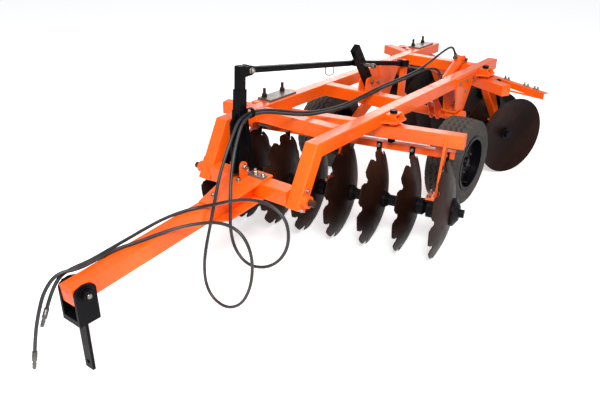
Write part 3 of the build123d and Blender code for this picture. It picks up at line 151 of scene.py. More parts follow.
# Hoses: two hydraulic rubber hoses of 18 mm run from the couplers at the drawbar's front,
# in two loose loops under its head, through the ring on the tower and back to the cylinder.
# Each is moulded rubber over braid, with a thin grey film of dust.
def two_tones(tree, amount, low_colour, high_colour, low=0.0, high=1.0):
    """A colour that goes straight from one to the other while the amount goes from low to high."""
    ramp = add_node(tree, "ValToRGB", {"Fac": amount})
    for end, place, colour in zip(ramp.color_ramp.elements, (low, high), (low_colour, high_colour)):
        end.position = place
        end.color = (*colour, 1.0)
    return ramp.outputs["Color"]


def smooth_run(name, points, radius, steps, roundness):
    """A round tube, closed at its ends, along the smooth line that the points pull towards them."""
    run = bpy.data.curves.new(name, "CURVE")
    run.dimensions = "3D"
    run.resolution_u = steps
    run.bevel_depth = radius
    run.bevel_resolution = roundness
    run.use_fill_caps = True
    line = run.splines.new("NURBS")
    line.points.add(len(points) - 1)
    for corner, place in zip(line.points, points):
        corner.co = (Vector(place) + crossing).to_4d()
    line.order_u = 3
    line.use_endpoint_u = True
    return run


hose_rubber = bpy.data.materials.new("hose_rubber_worn")
hose_rubber.use_nodes = True
rubber = hose_rubber.node_tree
rubber_place = add_node(rubber, "TexCoord").outputs["Object"]
rubber_dust = add_node(rubber, "TexNoise", {"Vector": rubber_place, "Scale": 9.0, "Detail": 6.0})
rubber_grain = add_node(rubber, "TexNoise", {"Vector": rubber_place, "Scale": 420.0})
rubber_bump = add_node(
    rubber, "Bump", {"Strength": 0.25, "Distance": 0.0006, "Height": rubber_grain.outputs["Fac"]}
)
rubber_colour = two_tones(
    rubber, rubber_dust.outputs["Fac"], (0.01, 0.01, 0.012), (0.04, 0.036, 0.032), 0.38, 0.75
)
feed(
    rubber,
    rubber.nodes["Principled BSDF"],
    {"Base Color": rubber_colour, "Roughness": 0.46, "Normal": rubber_bump.outputs["Normal"]},
)
hose_radius = 0.009
front_hose_1 = [
    (0.008, -0.858, 1.034),
    (0.008, -0.935, 1.034),
    (0.042, -1.05, 0.94),
    (0.05, -1.125, 0.835),
    (0.062, -1.19, 0.73),
    (0.073, -1.24, 0.62),
    (0.077, -1.285, 0.5),
    (0.072, -1.32, 0.385),
    (0.065, -1.34, 0.265),
    (0.08, -1.35, 0.145),
    (0.14, -1.354, 0.07),
    (0.25, -1.356, 0.055),
    (0.355, -1.356, 0.125),
    (0.42, -1.356, 0.24),
    (0.45, -1.356, 0.37),
    (0.445, -1.358, 0.5),
    (0.385, -1.367, 0.602),
    (0.27, -1.384, 0.625),
    (0.16, -1.42, 0.602),
    (0.084, -1.51, 0.59),
    (0.04, -1.615, 0.58),
    (0.005, -1.725, 0.569),
    (-0.038, -1.83, 0.56),
    (-0.042, -1.945, 0.551),
    (-0.04, -2.05, 0.55),
    (-0.08, -2.14, 0.556),
    (-0.104, -2.205, 0.478),
    (-0.105, -2.25, 0.38),
    (-0.105, -2.285, 0.28),
    (-0.105, -2.305, 0.19),
]
front_hose_2 = [
    (0.027, -0.858, 1.024),
    (0.027, -0.93, 1.024),
    (0.058, -1.03, 0.912),
    (0.094, -1.105, 0.812),
    (0.134, -1.168, 0.719),
    (0.168, -1.212, 0.61),
    (0.194, -1.248, 0.5),
    (0.228, -1.252, 0.385),
    (0.32, -1.25, 0.315),
    (0.445, -1.237, 0.34),
    (0.54, -1.222, 0.425),
    (0.582, -1.21, 0.545),
    (0.56, -1.212, 0.675),
    (0.455, -1.228, 0.735),
    (0.335, -1.248, 0.728),
    (0.222, -1.264, 0.69),
    (0.112, -1.276, 0.64),
    (0.022, -1.3, 0.606),
    (-0.032, -1.393, 0.596),
    (-0.058, -1.506, 0.587),
    (-0.062, -1.622, 0.578),
    (-0.062, -1.737, 0.568),
    (-0.062, -1.853, 0.559),
    (-0.062, -1.967, 0.549),
    (-0.074, -2.052, 0.546),
    (-0.094, -2.115, 0.528),
    (-0.094, -2.175, 0.462),
    (-0.094, -2.21, 0.392),
]
rear_hose_1 = [
    (0.008, -0.858, 1.034),
    (0.008, -0.77, 1.034),
    (0.028, -0.6, 0.992),
    (0.042, -0.4, 0.928),
    (0.054, -0.2, 0.893),
    (0.066, 0.02, 0.876),
    (0.082, 0.24, 0.89),
    (0.1, 0.46, 0.915),
    (0.118, 0.68, 0.928),
    (0.134, 0.88, 0.936),
    (0.15, 1.05, 0.958),
    (0.168, 1.22, 1.005),
    (0.185, 1.37, 1.05),
    (0.198, 1.49, 1.068),
    (0.2, 1.563, 1.003),
    (0.2, 1.59, 0.949),
]
rear_hose_2 = [
    (0.027, -0.858, 1.024),
    (0.027, -0.77, 1.024),
    (0.05, -0.6, 0.975),
    (0.064, -0.4, 0.915),
    (0.076, -0.2, 0.886),
    (0.088, 0.02, 0.868),
    (0.104, 0.24, 0.888),
    (0.122, 0.46, 0.914),
    (0.14, 0.68, 0.922),
    (0.154, 0.88, 0.928),
    (0.166, 1.02, 0.944),
    (0.178, 1.14, 0.944),
    (0.192, 1.245, 0.922),
    (0.2, 1.306, 0.8725),
    (0.2, 1.333, 0.8189),
]
for hose_name, body, points in (
    ("front_hose_1", "drawbar", front_hose_1),
    ("front_hose_2", "drawbar", front_hose_2),
    ("rear_hose_1", "frame", rear_hose_1),
    ("rear_hose_2", "frame", rear_hose_2),
):
    run = smooth_run("rubber_" + hose_name, points, hose_radius, 10, 5)
    run.materials.append(hose_rubber)
    hose = add_object("rubber_" + hose_name, run)
    if body == "frame":
        solid = bpy.data.meshes.new_from_object(hose)
        run.bevel_depth = 0.0
        run.use_fill_caps = False
        middle_line = bpy.data.meshes.new_from_object(hose)
        bpy.data.objects.remove(hose)
        hose = add_object("rubber_" + hose_name, solid)
        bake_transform(hose)
    else:
        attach(hose, body)
    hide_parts(hose_name)


# Couplers: each front hose ends in a crimped ferrule, a hexagon and the male half of a
# quick coupler, all zinc plated steel turned from bar. They hang from the hose's end.
def shape(name, points, faces, material):
    """A mesh object from points in metres and faces by index, smooth apart from edges over 32 degrees."""
    mesh = bpy.data.meshes.new(name)
    mesh.from_pydata(points, [], faces)
    mesh.validate()
    mesh.materials.append(material)
    mesh.shade_smooth()
    mesh.set_sharp_from_angle(angle=radians(32))
    return add_object(name, mesh)


def ring_faces(rows, sides):
    """Faces between neighbouring rings of points, and one face that closes each end."""
    here = np.arange(rows * sides).reshape(rows, sides)
    after = np.roll(here, -1, axis=1)
    walls = np.stack((here[:-1], after[:-1], after[1:], here[1:]), axis=-1).reshape(-1, 4)
    return walls.tolist() + [here[0, ::-1].tolist(), here[-1].tolist()]


def turned(profile, origin, axis, sides=40):
    """A solid of revolution from pairs of place along the axis and radius. A point is the
    origin, plus the axis times its place, plus its radius towards one of the equal angles."""
    along, radius = np.array(profile).T[:, :, None, None]
    axis = Vector(axis).normalized()
    first = axis.orthogonal().normalized()
    second = axis.cross(first)
    angles = 2 * pi * np.arange(sides)[:, None] / sides
    spokes = np.cos(angles) * np.array(first) + np.sin(angles) * np.array(second)
    points = np.array(origin) + along * np.array(axis) + radius * spokes
    return points.reshape(-1, 3), ring_faces(len(profile), sides)


def merged(parts):
    """One pair of points and faces from many. Each face counts on from the points before it."""
    starts = np.cumsum([0] + [len(points) for points, _ in parts]).tolist()
    faces = [[start + index for index in face] for start, (_, part) in zip(starts, parts) for face in part]
    return np.concatenate([points for points, _ in parts]), faces


def crimp(start, ridge, groove, apart):
    """Profile of a ferrule's five ridges, 6 mm from one to the next, each with a groove after it."""
    places = [start + 0.006 * ring for ring in range(5)]
    return [pair for place in places for pair in ((place, ridge), (place + apart, groove))]


coupler_steel = bpy.data.materials.new("coupler_zinc")
coupler_steel.use_nodes = True
zinc = coupler_steel.node_tree
zinc_place = add_node(zinc, "TexCoord").outputs["Object"]
zinc_cloud = add_node(zinc, "TexNoise", {"Vector": zinc_place, "Scale": 60.0, "Detail": 5.0}).outputs["Fac"]
zinc_rough = add_node(zinc, "MapRange", {"Value": zinc_cloud, "To Min": 0.25, "To Max": 0.45})
zinc_bump = add_node(zinc, "Bump", {"Height": zinc_cloud, "Strength": 0.1, "Distance": 0.0004})
feed(
    zinc,
    zinc.nodes["Principled BSDF"],
    {
        "Metallic": 0.85,
        "Base Color": two_tones(zinc, zinc_cloud, (0.08, 0.075, 0.07), (0.24, 0.23, 0.22)),
        "Roughness": zinc_rough.outputs["Result"],
        "Normal": zinc_bump.outputs["Normal"],
    },
)
ferrule = [(0.0, 0.0093), (0.001, 0.0125)] + crimp(0.004, 0.013, 0.0116, 0.0025)
ferrule += [(0.036, 0.013), (0.038, 0.0124), (0.0385, 0.009)]
hexagon = [(0.0385, 0.012), (0.039, 0.013), (0.05, 0.013), (0.0505, 0.012)]
tip = [(0.0505, 0.0088), (0.062, 0.0088), (0.063, 0.0102), (0.072, 0.0102), (0.073, 0.0085)]
tip += [(0.078, 0.0085), (0.079, 0.0098), (0.086, 0.0098), (0.094, 0.0078), (0.095, 0.0065)]
for coupler_name, hose_points in (("coupler_1", front_hose_1), ("coupler_2", front_hose_2)):
    end = Vector(hose_points[-1]) + crossing
    way = Vector(hose_points[-1]) - Vector(hose_points[-2])
    rounds = merged([turned(ferrule, end, way), turned(hexagon, end, way, 6), turned(tip, end, way)])
    coupler = shape(coupler_name, *rounds, coupler_steel)
    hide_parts("hose_couplers")
    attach(coupler, "drawbar")


# Frame and drawbar paint: glossy orange enamel sprayed over box tube and plate, a little
# darker where it lies thin, with a faint orange peel, and dust and a painted highlight on what faces up.
def enamel(name, colour, thin, dust_and_highlight, gloss, coat=0.0, dust_and_highlight_share=0.1, metal=0.0, shine=0.3):
    """A sprayed coat. Its colour is two close shades by slow noise, with dust and a painted highlight
    added by how far the surface faces up, times a finer noise, times their share. Its roughness is
    gloss, give or take a quarter, by the finer noise. Its bump is a very fine noise on edges rounded by 3
    mm."""
    made = bpy.data.materials.new(name)
    made.use_nodes = True
    tree = made.node_tree
    place = add_node(tree, "TexCoord").outputs["Object"]
    slow = add_node(tree, "TexNoise", {"Vector": place, "Scale": 2.3, "Detail": 7.0}).outputs["Fac"]
    patches = add_node(tree, "TexNoise", {"Vector": place, "Scale": 16.0, "Detail": 9.0}).outputs["Fac"]
    skin = add_node(tree, "TexNoise", {"Vector": place, "Scale": 260.0}).outputs["Fac"]
    facing = add_node(tree, "NewGeometry").outputs["Normal"]
    upward = add_node(tree, "SeparateXYZ", {"Vector": facing}).outputs["Z"]
    # Painted highlight: faces turned up are lightened towards the top colour, partly settled dust and partly
    # painted light from above.
    dust_and_highlight_mask = add_node(tree, "Math", {0: upward, 1: patches}, operation="MULTIPLY", use_clamp=True)
    amount = add_node(tree, "Math", {0: dust_and_highlight_mask.outputs[0], 1: dust_and_highlight_share}, operation="MULTIPLY", use_clamp=True)
    shades = two_tones(tree, slow, thin, colour, 0.34, 0.6)
    with_dust_and_highlight = add_node(
        tree, "Mix", {"Factor": amount.outputs[0], "A": shades, "B": (*dust_and_highlight, 1.0)}, data_type="RGBA"
    )
    rough = add_node(
        tree,
        "MapRange",
        {"Value": patches, "From Min": 0.3, "From Max": 0.7, "To Min": gloss * 0.85, "To Max": gloss * 1.3},
    )
    rounded = add_node(tree, "Bevel", {"Radius": 0.003}, samples=4).outputs["Normal"]
    bump = add_node(tree, "Bump", {"Strength": 0.07, "Distance": 0.001, "Height": skin, "Normal": rounded})
    feed(
        tree,
        tree.nodes["Principled BSDF"],
        {
            "Base Color": with_dust_and_highlight.outputs["Result"],
            "Metallic": metal,
            "Roughness": rough.outputs["Result"],
            "Specular IOR Level": shine,
            "Coat Weight": coat,
            "Coat Roughness": 0.1,
            "Normal": bump.outputs["Normal"],
        },
    )
    return made


def dress(material, *names):
    """Puts a material in every slot of these CAD nodes."""
    for name in names:
        mesh = frame["nodes"][name].data
        mesh.materials.clear()
        mesh.materials.append(material)


# Its salmon top colour lightens faces turned up: some dust and a painted highlight from above.
orange = enamel(
    "orange_enamel", (0.95, 0.122, 0.002), (0.87, 0.09, 0.001), (0.9, 0.36, 0.16), gloss=0.33, coat=0.3
)
dress(
    orange,
    "left_rail", "right_rail", "front_cross_member", "mid_cross_member", "rear_cross_member",
    "front_gang_beam", "rear_gang_beam", "gang_pivot_brackets", "rail_cleats", "front_hangers",
    "rear_hangers", "front_scraper_bar", "rear_scraper_bar", "shaft_brackets", "shaft_blocks",
    "rock_shaft", "levelling_lever", "cylinder_barrel", "drawbar_head", "drawbar_tongue",
)


# Black painted steel: tower, links, rocker, hitch, rims, bearings, gang shafts and
# scraper blades, brushed and sprayed thinner than the orange.
black = enamel(
    "black_enamel",
    colour=(0.004, 0.004, 0.005),
    thin=(0.002, 0.002, 0.003),
    # Faces turned up are lightened a little by dust and a painted highlight.
    dust_and_highlight=(0.05, 0.045, 0.04),
    gloss=0.32,
    coat=0.04,
    dust_and_highlight_share=0.05,
    shine=0.07,
)
dress(
    black,
    "tower", "tower_brace", "hose_ring", "front_link", "rear_link", "rocker", "hitch_clevis",
    "hitch_bar", "front_gang_shaft", "rear_gang_shaft", "front_scraper_blades",
    "rear_scraper_blades", "gang_pivot_bolts", "left_rim", "right_rim", "front_bearings",
    "rear_bearings",
)


# Discs: pressed hardened steel under a thin dark brown dip, lightened to brown on the faces
# turned up by dust and a painted highlight from the light above.
disc_dip = enamel(
    "disc_dip",
    colour=(0.009, 0.003, 0.002),
    thin=(0.034, 0.012, 0.007),
    # Brown top colour: dust and a painted highlight on faces turned up.
    dust_and_highlight=(0.1, 0.045, 0.028),
    gloss=0.36,
    coat=0.03,
    dust_and_highlight_share=0.4,
    shine=0.07,
)
dress(disc_dip, "front_discs", "rear_discs")


# Bare steel: clamp plates and the saddle plate are grey with some rust, studs and drawbar
# pins are oiled, and the cylinder's rod is ground and chromed.
bare = enamel(
    "bare_plate",
    colour=(0.26, 0.25, 0.24),
    thin=(0.12, 0.105, 0.09),
    dust_and_highlight=(0.3, 0.24, 0.19),
    gloss=0.36,
    dust_and_highlight_share=0.5,
    metal=0.7,
)
# Faces turned up are lightened by brown dust and a painted highlight.
oiled = enamel(
    "oiled_steel",
    colour=(0.07, 0.035, 0.024),
    thin=(0.03, 0.02, 0.017),
    dust_and_highlight=(0.3, 0.13, 0.06),
    gloss=0.32,
    dust_and_highlight_share=0.6,
    metal=0.6,
)
chrome = enamel(
    "rod_chrome_bright", (0.7, 0.7, 0.7), (0.6, 0.6, 0.6), (0.7, 0.7, 0.7), gloss=0.12, metal=1.0
)
dress(bare, "clamp_plates", "saddle_plate")
dress(oiled, "clamp_studs", "drawbar_pins")
dress(chrome, "cylinder_rod")


# Tyres: implement tyres of grey brown rubber, moulded with four zigzag grooves round the
# tread, notches across both shoulders and two thin rings on each flank.
# Faces turned up are lightened by dust and a painted highlight.
tyre_rubber = enamel(
    "tyre_rubber_worn_and_top_lit", (0.062, 0.052, 0.045), (0.04, 0.034, 0.03), (0.15, 0.125, 0.1), gloss=0.7, dust_and_highlight_share=0.6
)
around, steps_in_zigzag = 432, 12
zigzag_reach = 0.009
groove_places = np.array((-0.063, -0.021, 0.021, 0.063))
groove_depth, groove_half, groove_slope = 0.012, 0.0056, 1.6
notch_start, notch_floor, notch_depth, notch_share = 0.086, 0.3, 0.006, 0.26
ring_places, ring_half, ring_depth = (0.243, 0.292), 0.004, 0.0015
bead_edge = (0.112, 0.1973)
flank_foot, flank_lean, flank_bulge, flank_steps = 0.112, 0.007, 0.0155, 16
flank_low, flank_high = 0.2133, 0.312
shoulder = [(0.1165, 0.317), (0.113, 0.3225), (0.1095, 0.3272)]
tread_radius, tread_half, tread_drop, tread_steps = 0.336, 0.107, 0.006, 81
tread_floor = 0.3295

# The section goes across from bead to bead: a flank leans out and bulges by half a sine
# wave, and the tread drops by the square of the way from its middle.
share = np.linspace(0.0, 1.0, flank_steps + 1)
flank_across = flank_foot + flank_lean * share + flank_bulge * np.sin(pi * share)
flank = np.stack((flank_across, flank_low + (flank_high - flank_low) * share), axis=-1)
side_wall = np.concatenate(([bead_edge], flank, shoulder))
tread_across = np.linspace(tread_half, -tread_half, tread_steps)
tread = np.stack((tread_across, tread_radius - tread_drop * (tread_across / tread_half) ** 2), axis=-1)
across, radius = np.concatenate((side_wall, tread, side_wall[::-1] * (-1, 1))).T

# A point's radius is its section's, less the groove, notch or ring that it lies in. A
# groove has sloping sides and a flat floor, and zigzags to both sides as the tyre turns.
step = np.arange(around)[:, None]
phase = step % steps_in_zigzag / steps_in_zigzag
zigzag = zigzag_reach * (4 * np.abs(phase - 0.5) - 1)
off_groove = np.abs((across - zigzag)[:, :, None] - groove_places).min(axis=-1)
groove = groove_depth * np.clip(groove_slope - off_groove / groove_half, 0.0, 1.0)
cut = np.where(radius > tread_floor, groove, 0.0)
notched = (np.abs(across) > notch_start) & (radius > notch_floor) & (phase < notch_share)
cut = np.where(notched, np.maximum(cut, notch_depth), cut)
ringed = np.abs(radius[:, None] - ring_places).min(axis=-1) < ring_half
reach = radius - np.where(ringed, ring_depth, cut)
angles = 2 * pi * step / around
tyre_points = np.stack((across + 0 * angles, reach * np.cos(angles), reach * np.sin(angles)), axis=-1)
here = np.arange(tyre_points[..., 0].size).reshape(around, -1)
beyond = np.roll(here, -1, axis=1)
after = np.roll(here, -1, axis=0)
tyre_faces = np.stack((here, beyond, np.roll(beyond, -1, axis=0), after), axis=-1).reshape(-1, 4).tolist()
joint_place = {joint["name"]: Vector(joint["pos_m"]) for joint in frame["joints"] if "pos_m" in joint}
for side_name in ("left", "right"):
    hub = np.array(joint_place[side_name + "_wheel_spin"])
    placed = tyre_points.reshape(-1, 3) + hub
    tyre = shape("ribbed_" + side_name + "_tyre", placed, tyre_faces, tyre_rubber)
    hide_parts(side_name + "_tyre")
    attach(tyre, side_name + "_wheel")


# Bolts of the wheels: five oiled nuts round each hub, a pressed cap over the bearing and
# the tyre's valve through the rim.
def bolt(place, out, key, thread=0.0):
    """Washer, chamfered hexagon of a key size, and the end of a thread standing out by a length."""
    washer = key * np.array(((0.0, 0.68), (0.02, 0.72), (0.11, 0.72), (0.13, 0.68)))
    hexagon = key * np.array(((0.13, 0.55), (0.16, 0.577), (0.6, 0.577), (0.7, 0.49)))
    parts = [turned(washer, place, out, 24), turned(hexagon, place, out, 6)]
    if thread:
        top = key * 0.7
        core = [(top, key * 0.33), (top + thread * 0.85, key * 0.33), (top + thread, key * 0.26)]
        parts.append(turned(core, place, out, 16))
    return merged(parts)


nut_count, nut_circle = 5, 0.08
nut_angles = [2 * pi * (number + 0.5) / nut_count for number in range(nut_count)]
nut_face, cap_face, valve_face, valve_drop = 0.0652, 0.06, 0.074, 0.165
dome = [(0.0, 0.04), (0.004, 0.041), (0.02, 0.039), (0.03, 0.033), (0.034, 0.02), (0.035, 0.003)]
stem = [(-0.01, 0.004), (0.012, 0.004), (0.0125, 0.0055), (0.026, 0.0055), (0.027, 0.003)]
for side, wheel_body in ((1, "left_wheel"), (-1, "right_wheel")):
    hub = joint_place[wheel_body + "_spin"]
    out = Vector((side, 0, 0))
    nuts = [
        bolt(hub + out * nut_face + Vector((0, cos(angle), sin(angle))) * nut_circle, out, 0.02, 0.008)
        for angle in nut_angles
    ]
    wheel_nuts = shape(wheel_body + "_nuts", *merged(nuts), oiled)
    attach(wheel_nuts, wheel_body)
    cap = shape(wheel_body + "_cap", *turned(dome, hub + out * cap_face, out), black)
    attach(cap, wheel_body)
    valve_foot = hub + out * valve_face - Vector((0, 0, valve_drop))
    valve = shape(wheel_body + "_valve", *turned(stem, valve_foot, out, 16), hose_rubber)
    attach(valve, wheel_body)


# Bolts of the frame: zinc plated hexagon bolts through the shaft brackets, the drawbar
# pins' keepers, the bearing feet, the rocker's ears and the scraper bars.
def gang_spot(gang, along, back, height):
    """A point of a gang: the middle of its shaft, plus a length to the left along the shaft and a
    length to the rear square to it, both turned by the beam's angle, at a height over the floor."""
    beam_back, angle, shaft_along, shaft_back = gang
    along, back = shaft_along + along, shaft_back + back
    x = along * cos(angle) - back * sin(angle)
    y = along * sin(angle) + back * cos(angle)
    return crossing + Vector((x, beam_back + y, height))


# A gang: how far its beam lies behind the crossing, how far the beam is turned to the rear
# on its left, and how far the shaft's middle lies along the beam and behind it.
front_gang = (0.0, radians(13.3), 0.121, -0.176)
rear_gang = (1.91, radians(-26.6), -0.148, 0.164)
left, right, up = Vector((1, 0, 0)), Vector((-1, 0, 0)), Vector((0, 0, 1))
zinc_steel = enamel(
    "bolt_zinc", (0.4, 0.38, 0.34), (0.22, 0.2, 0.18), (0.35, 0.25, 0.16), gloss=0.32, dust_and_highlight_share=0.3, metal=0.9
)
frame_parts = []

# Shaft brackets and their bearing blocks, and the keepers of the drawbar's pins
rock_shaft = joint_place["rock_shaft_lift"]
drawbar_pin = joint_place["drawbar_turn"]
bracket_face, leg_face = 0.411, 0.399
bracket_bolts = ((-0.058, 0.293), (0.069, 0.293), (0.201, 0.293), (0.059, 0.211))
block_bolts = ((0.327, -0.059), (0.381, -0.059), (0.327, 0.059), (0.381, 0.059))
block_base = 0.062
down_leg = Vector((0.0, -0.469, -0.883))
for side, out in ((1, left), (-1, right)):
    for y, z in bracket_bolts:
        frame_parts.append(bolt(rock_shaft + Vector((side * bracket_face, y, z)), out, 0.019))
    for x, y in block_bolts:
        frame_parts.append(bolt(rock_shaft + Vector((side * x, y, block_base)), up, 0.019, 0.008))
    for along in (-0.06, 0.06):
        frame_parts.append(bolt(drawbar_pin + out * leg_face + down_leg * along, out, 0.017))

# Rocker's ears, then both gangs' bearing feet and scraper feet
ear_bolts = ((0.0375, 0.5574, 0.9316), (0.047, 0.4575, 0.952))
for place in ear_bolts:
    frame_parts.append(bolt(crossing + Vector(place), left, 0.02))
disc_pitch, disc_count = 0.232, 8
bearing_places = (3 * disc_pitch, 0.0, -3 * disc_pitch)
foot_half_length, foot_half_width = 0.04, 0.034
foot_top, foot_bottom = 0.422, 0.394
scraper_offset = 0.1145
for gang, foot_back, foot_height, hollow_side, first_scraper in (
    (front_gang, 0.196, 0.632, -1, 0),
    (rear_gang, -0.047, 0.762, 1, 1),
):
    beam_angle = gang[1]
    ahead_way = Vector((sin(beam_angle), -cos(beam_angle), 0))
    for bearing in bearing_places:
        for along in (bearing - foot_half_length, bearing + foot_half_length):
            for back in (-foot_half_width, foot_half_width):
                frame_parts.append(bolt(gang_spot(gang, along, back, foot_top), up, 0.022, 0.008))
                frame_parts.append(bolt(gang_spot(gang, along, back, foot_bottom), -up, 0.019))
    for number in range(first_scraper, disc_count):
        foot = disc_pitch * (0.5 * (disc_count - 1) - number) + hollow_side * scraper_offset
        spot = gang_spot(gang, foot, foot_back, foot_height)
        frame_parts.append(bolt(spot, ahead_way, 0.019))

# Three pairs on top of the rear scraper bar, where it stands out to the left
bar_top = 0.79
bar_bolts = ((0.578, 1.812), (0.612, 1.794), (0.782, 1.693), (0.816, 1.675), (0.882, 1.64), (0.912, 1.624))
for x, y in bar_bolts:
    frame_parts.append(bolt(crossing + Vector((x, y, bar_top)), up, 0.02, 0.014))
frame_bolts = shape("frame_bolts", *merged(frame_parts), zinc_steel)
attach(frame_bolts, "frame")


# Welds: rippled fillet beads where tubes and plates meet, laid by hand and painted over
# with the frame and the drawbar.
def bead(start, end, size):
    """A rounded bar from start to end, whose radius swells and shrinks every four millimetres."""
    run = end - start
    count = int(run.length / 0.002)
    ripple = [(run.length * (i + 0.5) / count, size * (1.0 if i % 2 else 0.86)) for i in range(count)]
    return turned([(0.0, size * 0.3)] + ripple + [(run.length, size * 0.3)], start, run, 8)


def frame_bead(x, start, end, size):
    """A bead in an upright plane at a way to the left, between two pairs of length and height."""
    return bead(crossing + Vector((x, *start)), crossing + Vector((x, *end)), size)


wide, slim = 0.0045, 0.004
rail_face, inner_plate = 0.309, 0.297
plate_foot = 0.608
frame_welds = []
for low_y, high_y in ((-0.43, -0.34), (0.37, 0.46), (1.7, 1.79)):
    for x in (-rail_face, rail_face):
        for z in (0.888, 0.802):
            frame_welds.append(frame_bead(x, (low_y, z), (high_y, z), wide))
        for y in (low_y, high_y):
            frame_welds.append(frame_bead(x, (y, 0.804), (y, 0.886), wide))
for side in (-1, 1):
    for plate_x, face_x in ((inner_plate, rail_face), (bracket_face, leg_face)):
        for y in (1.17, 1.555):
            frame_welds.append(frame_bead(side * face_x, (y, 0.8), (y, 0.875), slim))
        frame_welds.append(frame_bead(side * plate_x, (1.222, plate_foot), (1.38, plate_foot), wide))
hanger_half_plate, hanger_foot = 0.009, 0.423
for gang, lean, beam_face in ((front_gang, 1, 0.1315), (rear_gang, -1, -0.1195)):
    for bearing in bearing_places:
        for along in (bearing - hanger_half_plate, bearing + hanger_half_plate):
            foot_start = gang_spot(gang, along, -lean * 0.018, hanger_foot)
            foot_end = gang_spot(gang, along, lean * 0.048, hanger_foot)
            frame_welds.append(bead(foot_start, foot_end, wide))
            top_start = gang_spot(gang, along, beam_face, 0.712)
            top_end = gang_spot(gang, along, beam_face, 0.788)
            frame_welds.append(bead(top_start, top_end, slim))
welds = shape("frame_welds", *merged(frame_welds), orange)
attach(welds, "frame")
tongue_face, swing_face = 0.049, 0.33066
head_welds = [frame_bead(x, (-1.2, 0.5935), (-1.08, 0.6035), wide) for x in (-tongue_face, tongue_face)]
for x in (-swing_face, swing_face):
    for y in (-0.885, -0.791):
        head_welds.append(frame_bead(x, (y, 0.54), (y, 0.62), slim))
drawbar_welds = shape("drawbar_welds", *merged(head_welds), orange)
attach(drawbar_welds, "drawbar")


# Bolts of the drawbar: two on the upper head plate, the saddle's threaded ends with their
# nuts, the tower's cross bolts and the pin of the front link.
def on_head(x, back):
    """A point on top of the sloping head plate: the drawbar's pins, plus a way to the left, a way to
    the rear, and the rise there plus the way to the rear times the tangent of the slope."""
    return drawbar_pin + Vector((x, back, head_rise + back * tan(slope)))


slope = radians(4.75)
square_up = (0, -sin(slope), cos(slope))
head_rise = 0.0622
saddle_rise = Vector((0, 0, 0.0118))
tower_x, link_x = -0.043, -0.055
drawbar_parts = []
for x, back in ((-0.012, -0.324), (-0.013, -0.107)):
    drawbar_parts.append(bolt(on_head(x, back), square_up, 0.022))
for x, back, key in ((-0.092, 0.002, 0.019), (-0.03, -0.002, 0.017), (0.03, 0.0, 0.028), (0.09, 0.0, 0.019)):
    drawbar_parts.append(bolt(on_head(x, back) + saddle_rise, square_up, key, 0.014))
for out in (left, right):
    for middle_x, half_width, y, z, key, thread in (
        (tower_x, 0.028, -0.8865, 0.989, 0.022, 0.0),
        (tower_x, 0.041, -0.905, 0.713, 0.024, 0.008),
        (link_x, 0.0295, -0.79, 1.264, 0.026, 0.006),
    ):
        spot = crossing + Vector((middle_x, y, z)) + out * half_width
        drawbar_parts.append(bolt(spot, out, key, thread))
drawbar_bolts = shape("drawbar_bolts", *merged(drawbar_parts), zinc_steel)
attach(drawbar_bolts, "drawbar")


# Collar of the tower: a square sleeve of black painted steel, clamped round the post below
# the wider sleeve by the cross bolt.
square = np.array(((-1, -1, 0), (1, -1, 0), (1, 1, 0), (-1, 1, 0)))
collar_rings = (
    (-0.8878, 0.972, 0.0285), (-0.8878, 0.973, 0.031), (-0.883, 1.05, 0.031), (-0.8829, 1.051, 0.0285)
)
collar_points = [np.array(crossing) + (tower_x, y, z) + half * square for y, z, half in collar_rings]
collar = shape("tower_collar", np.concatenate(collar_points), ring_faces(4, 4), black)
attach(collar, "drawbar")


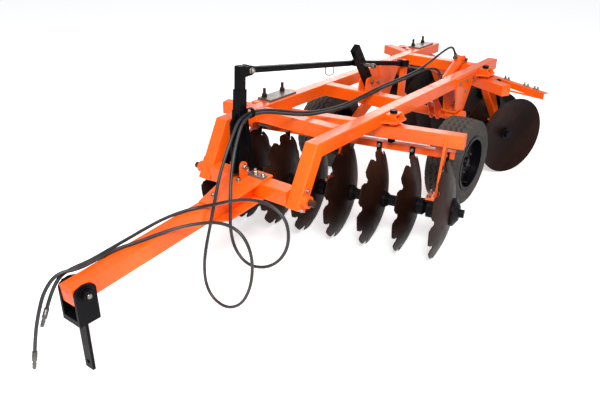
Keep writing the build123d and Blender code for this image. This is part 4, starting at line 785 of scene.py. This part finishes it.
# Rocker's bolt and keeper: a thick plated bolt stands out to the left with its nut, and a
# loop of wire hangs under the front link beside it.
bolt_middle = crossing + Vector((0.024, 0.3685, 1.0934))
shank = [(0.0, 0.0125), (0.062, 0.0125), (0.0625, 0.016), (0.066, 0.0165), (0.07, 0.0165), (0.0705, 0.012)]
shank += [(0.071, 0.0185), (0.089, 0.0185), (0.0915, 0.016)]
rocker_bolt = shape("rocker_bolt", *turned(shank, bolt_middle, left, 24), zinc_steel)
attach(rocker_bolt, "rocker_arm")
wire_run = [
    (link_x, 0.0, 1.129),
    (link_x, -0.004, 1.095),
    (link_x, 0.01, 1.078),
    (link_x, 0.04, 1.066),
    (link_x, 0.08, 1.062),
    (link_x, 0.104, 1.074),
    (link_x, 0.1, 1.115),
]
wire = smooth_run("link_wire", wire_run, 0.003, 12, 3)
wire.materials.append(black)
keeper = add_object("link_wire", wire)
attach(keeper, "front_level_link")


# Cylinder fittings: a straight plated fitting on each port with the hose's crimped ferrule,
# the gland nut at the rod's end and the two ends of the bolt through the rear eye.
fitting = [(0.0, 0.014), (0.001, 0.015), (0.014, 0.015), (0.015, 0.0115), (0.018, 0.0115), (0.019, 0.0132)]
fitting += crimp(0.021, 0.0132, 0.0118, 0.0035) + [(0.051, 0.0132), (0.053, 0.0125), (0.0535, 0.0093)]
gland = [(0.386, 0.0405), (0.387, 0.0425), (0.399, 0.0425), (0.4, 0.0405), (0.4005, 0.021)]
barrel_parts = []
for port_points in (rear_hose_1, rear_hose_2):
    mouth = Vector(port_points[-1]) + crossing
    barrel_parts.append(turned(fitting, mouth, Vector(port_points[-2]) - Vector(port_points[-1]), 24))
cylinder_pin = joint_place["cylinder_swing"]
rod_way = next(joint["axis"] for joint in frame["joints"] if joint["name"] == "cylinder_stroke")
barrel_parts.append(turned(gland, cylinder_pin, rod_way))
eye_face = 0.0475
for out in (left, right):
    barrel_parts.append(bolt(cylinder_pin + out * eye_face, out, 0.026))
fittings = shape("cylinder_fittings", *merged(barrel_parts), coupler_steel)
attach(fittings, "barrel")


# Hitch bolt: a broad black washer under each big nut and the bright ends of the bolt, both
# turned from bar. They move with the clevis.
clevis_face = 0.068
broad = [(0.0, 0.04), (0.0005, 0.0425), (0.0045, 0.0425), (0.005, 0.04), (0.0052, 0.03)]
stud = [(0.02, 0.013), (0.029, 0.013), (0.031, 0.0115), (0.0313, 0.002)]
hitch_pin = joint_place["clevis_swing"]
for name, outline, sides, paint, slot_name in (
    ("hitch_washers", broad, 40, black, "black_paint"),
    ("hitch_bolt_ends", stud, 32, zinc_steel, "bolt_steel"),
):
    parts = [turned(outline, hitch_pin + out * clevis_face, out, sides) for out in (left, right)]
    ends = shape(name, *merged(parts), paint)
    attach(ends, "clevis")
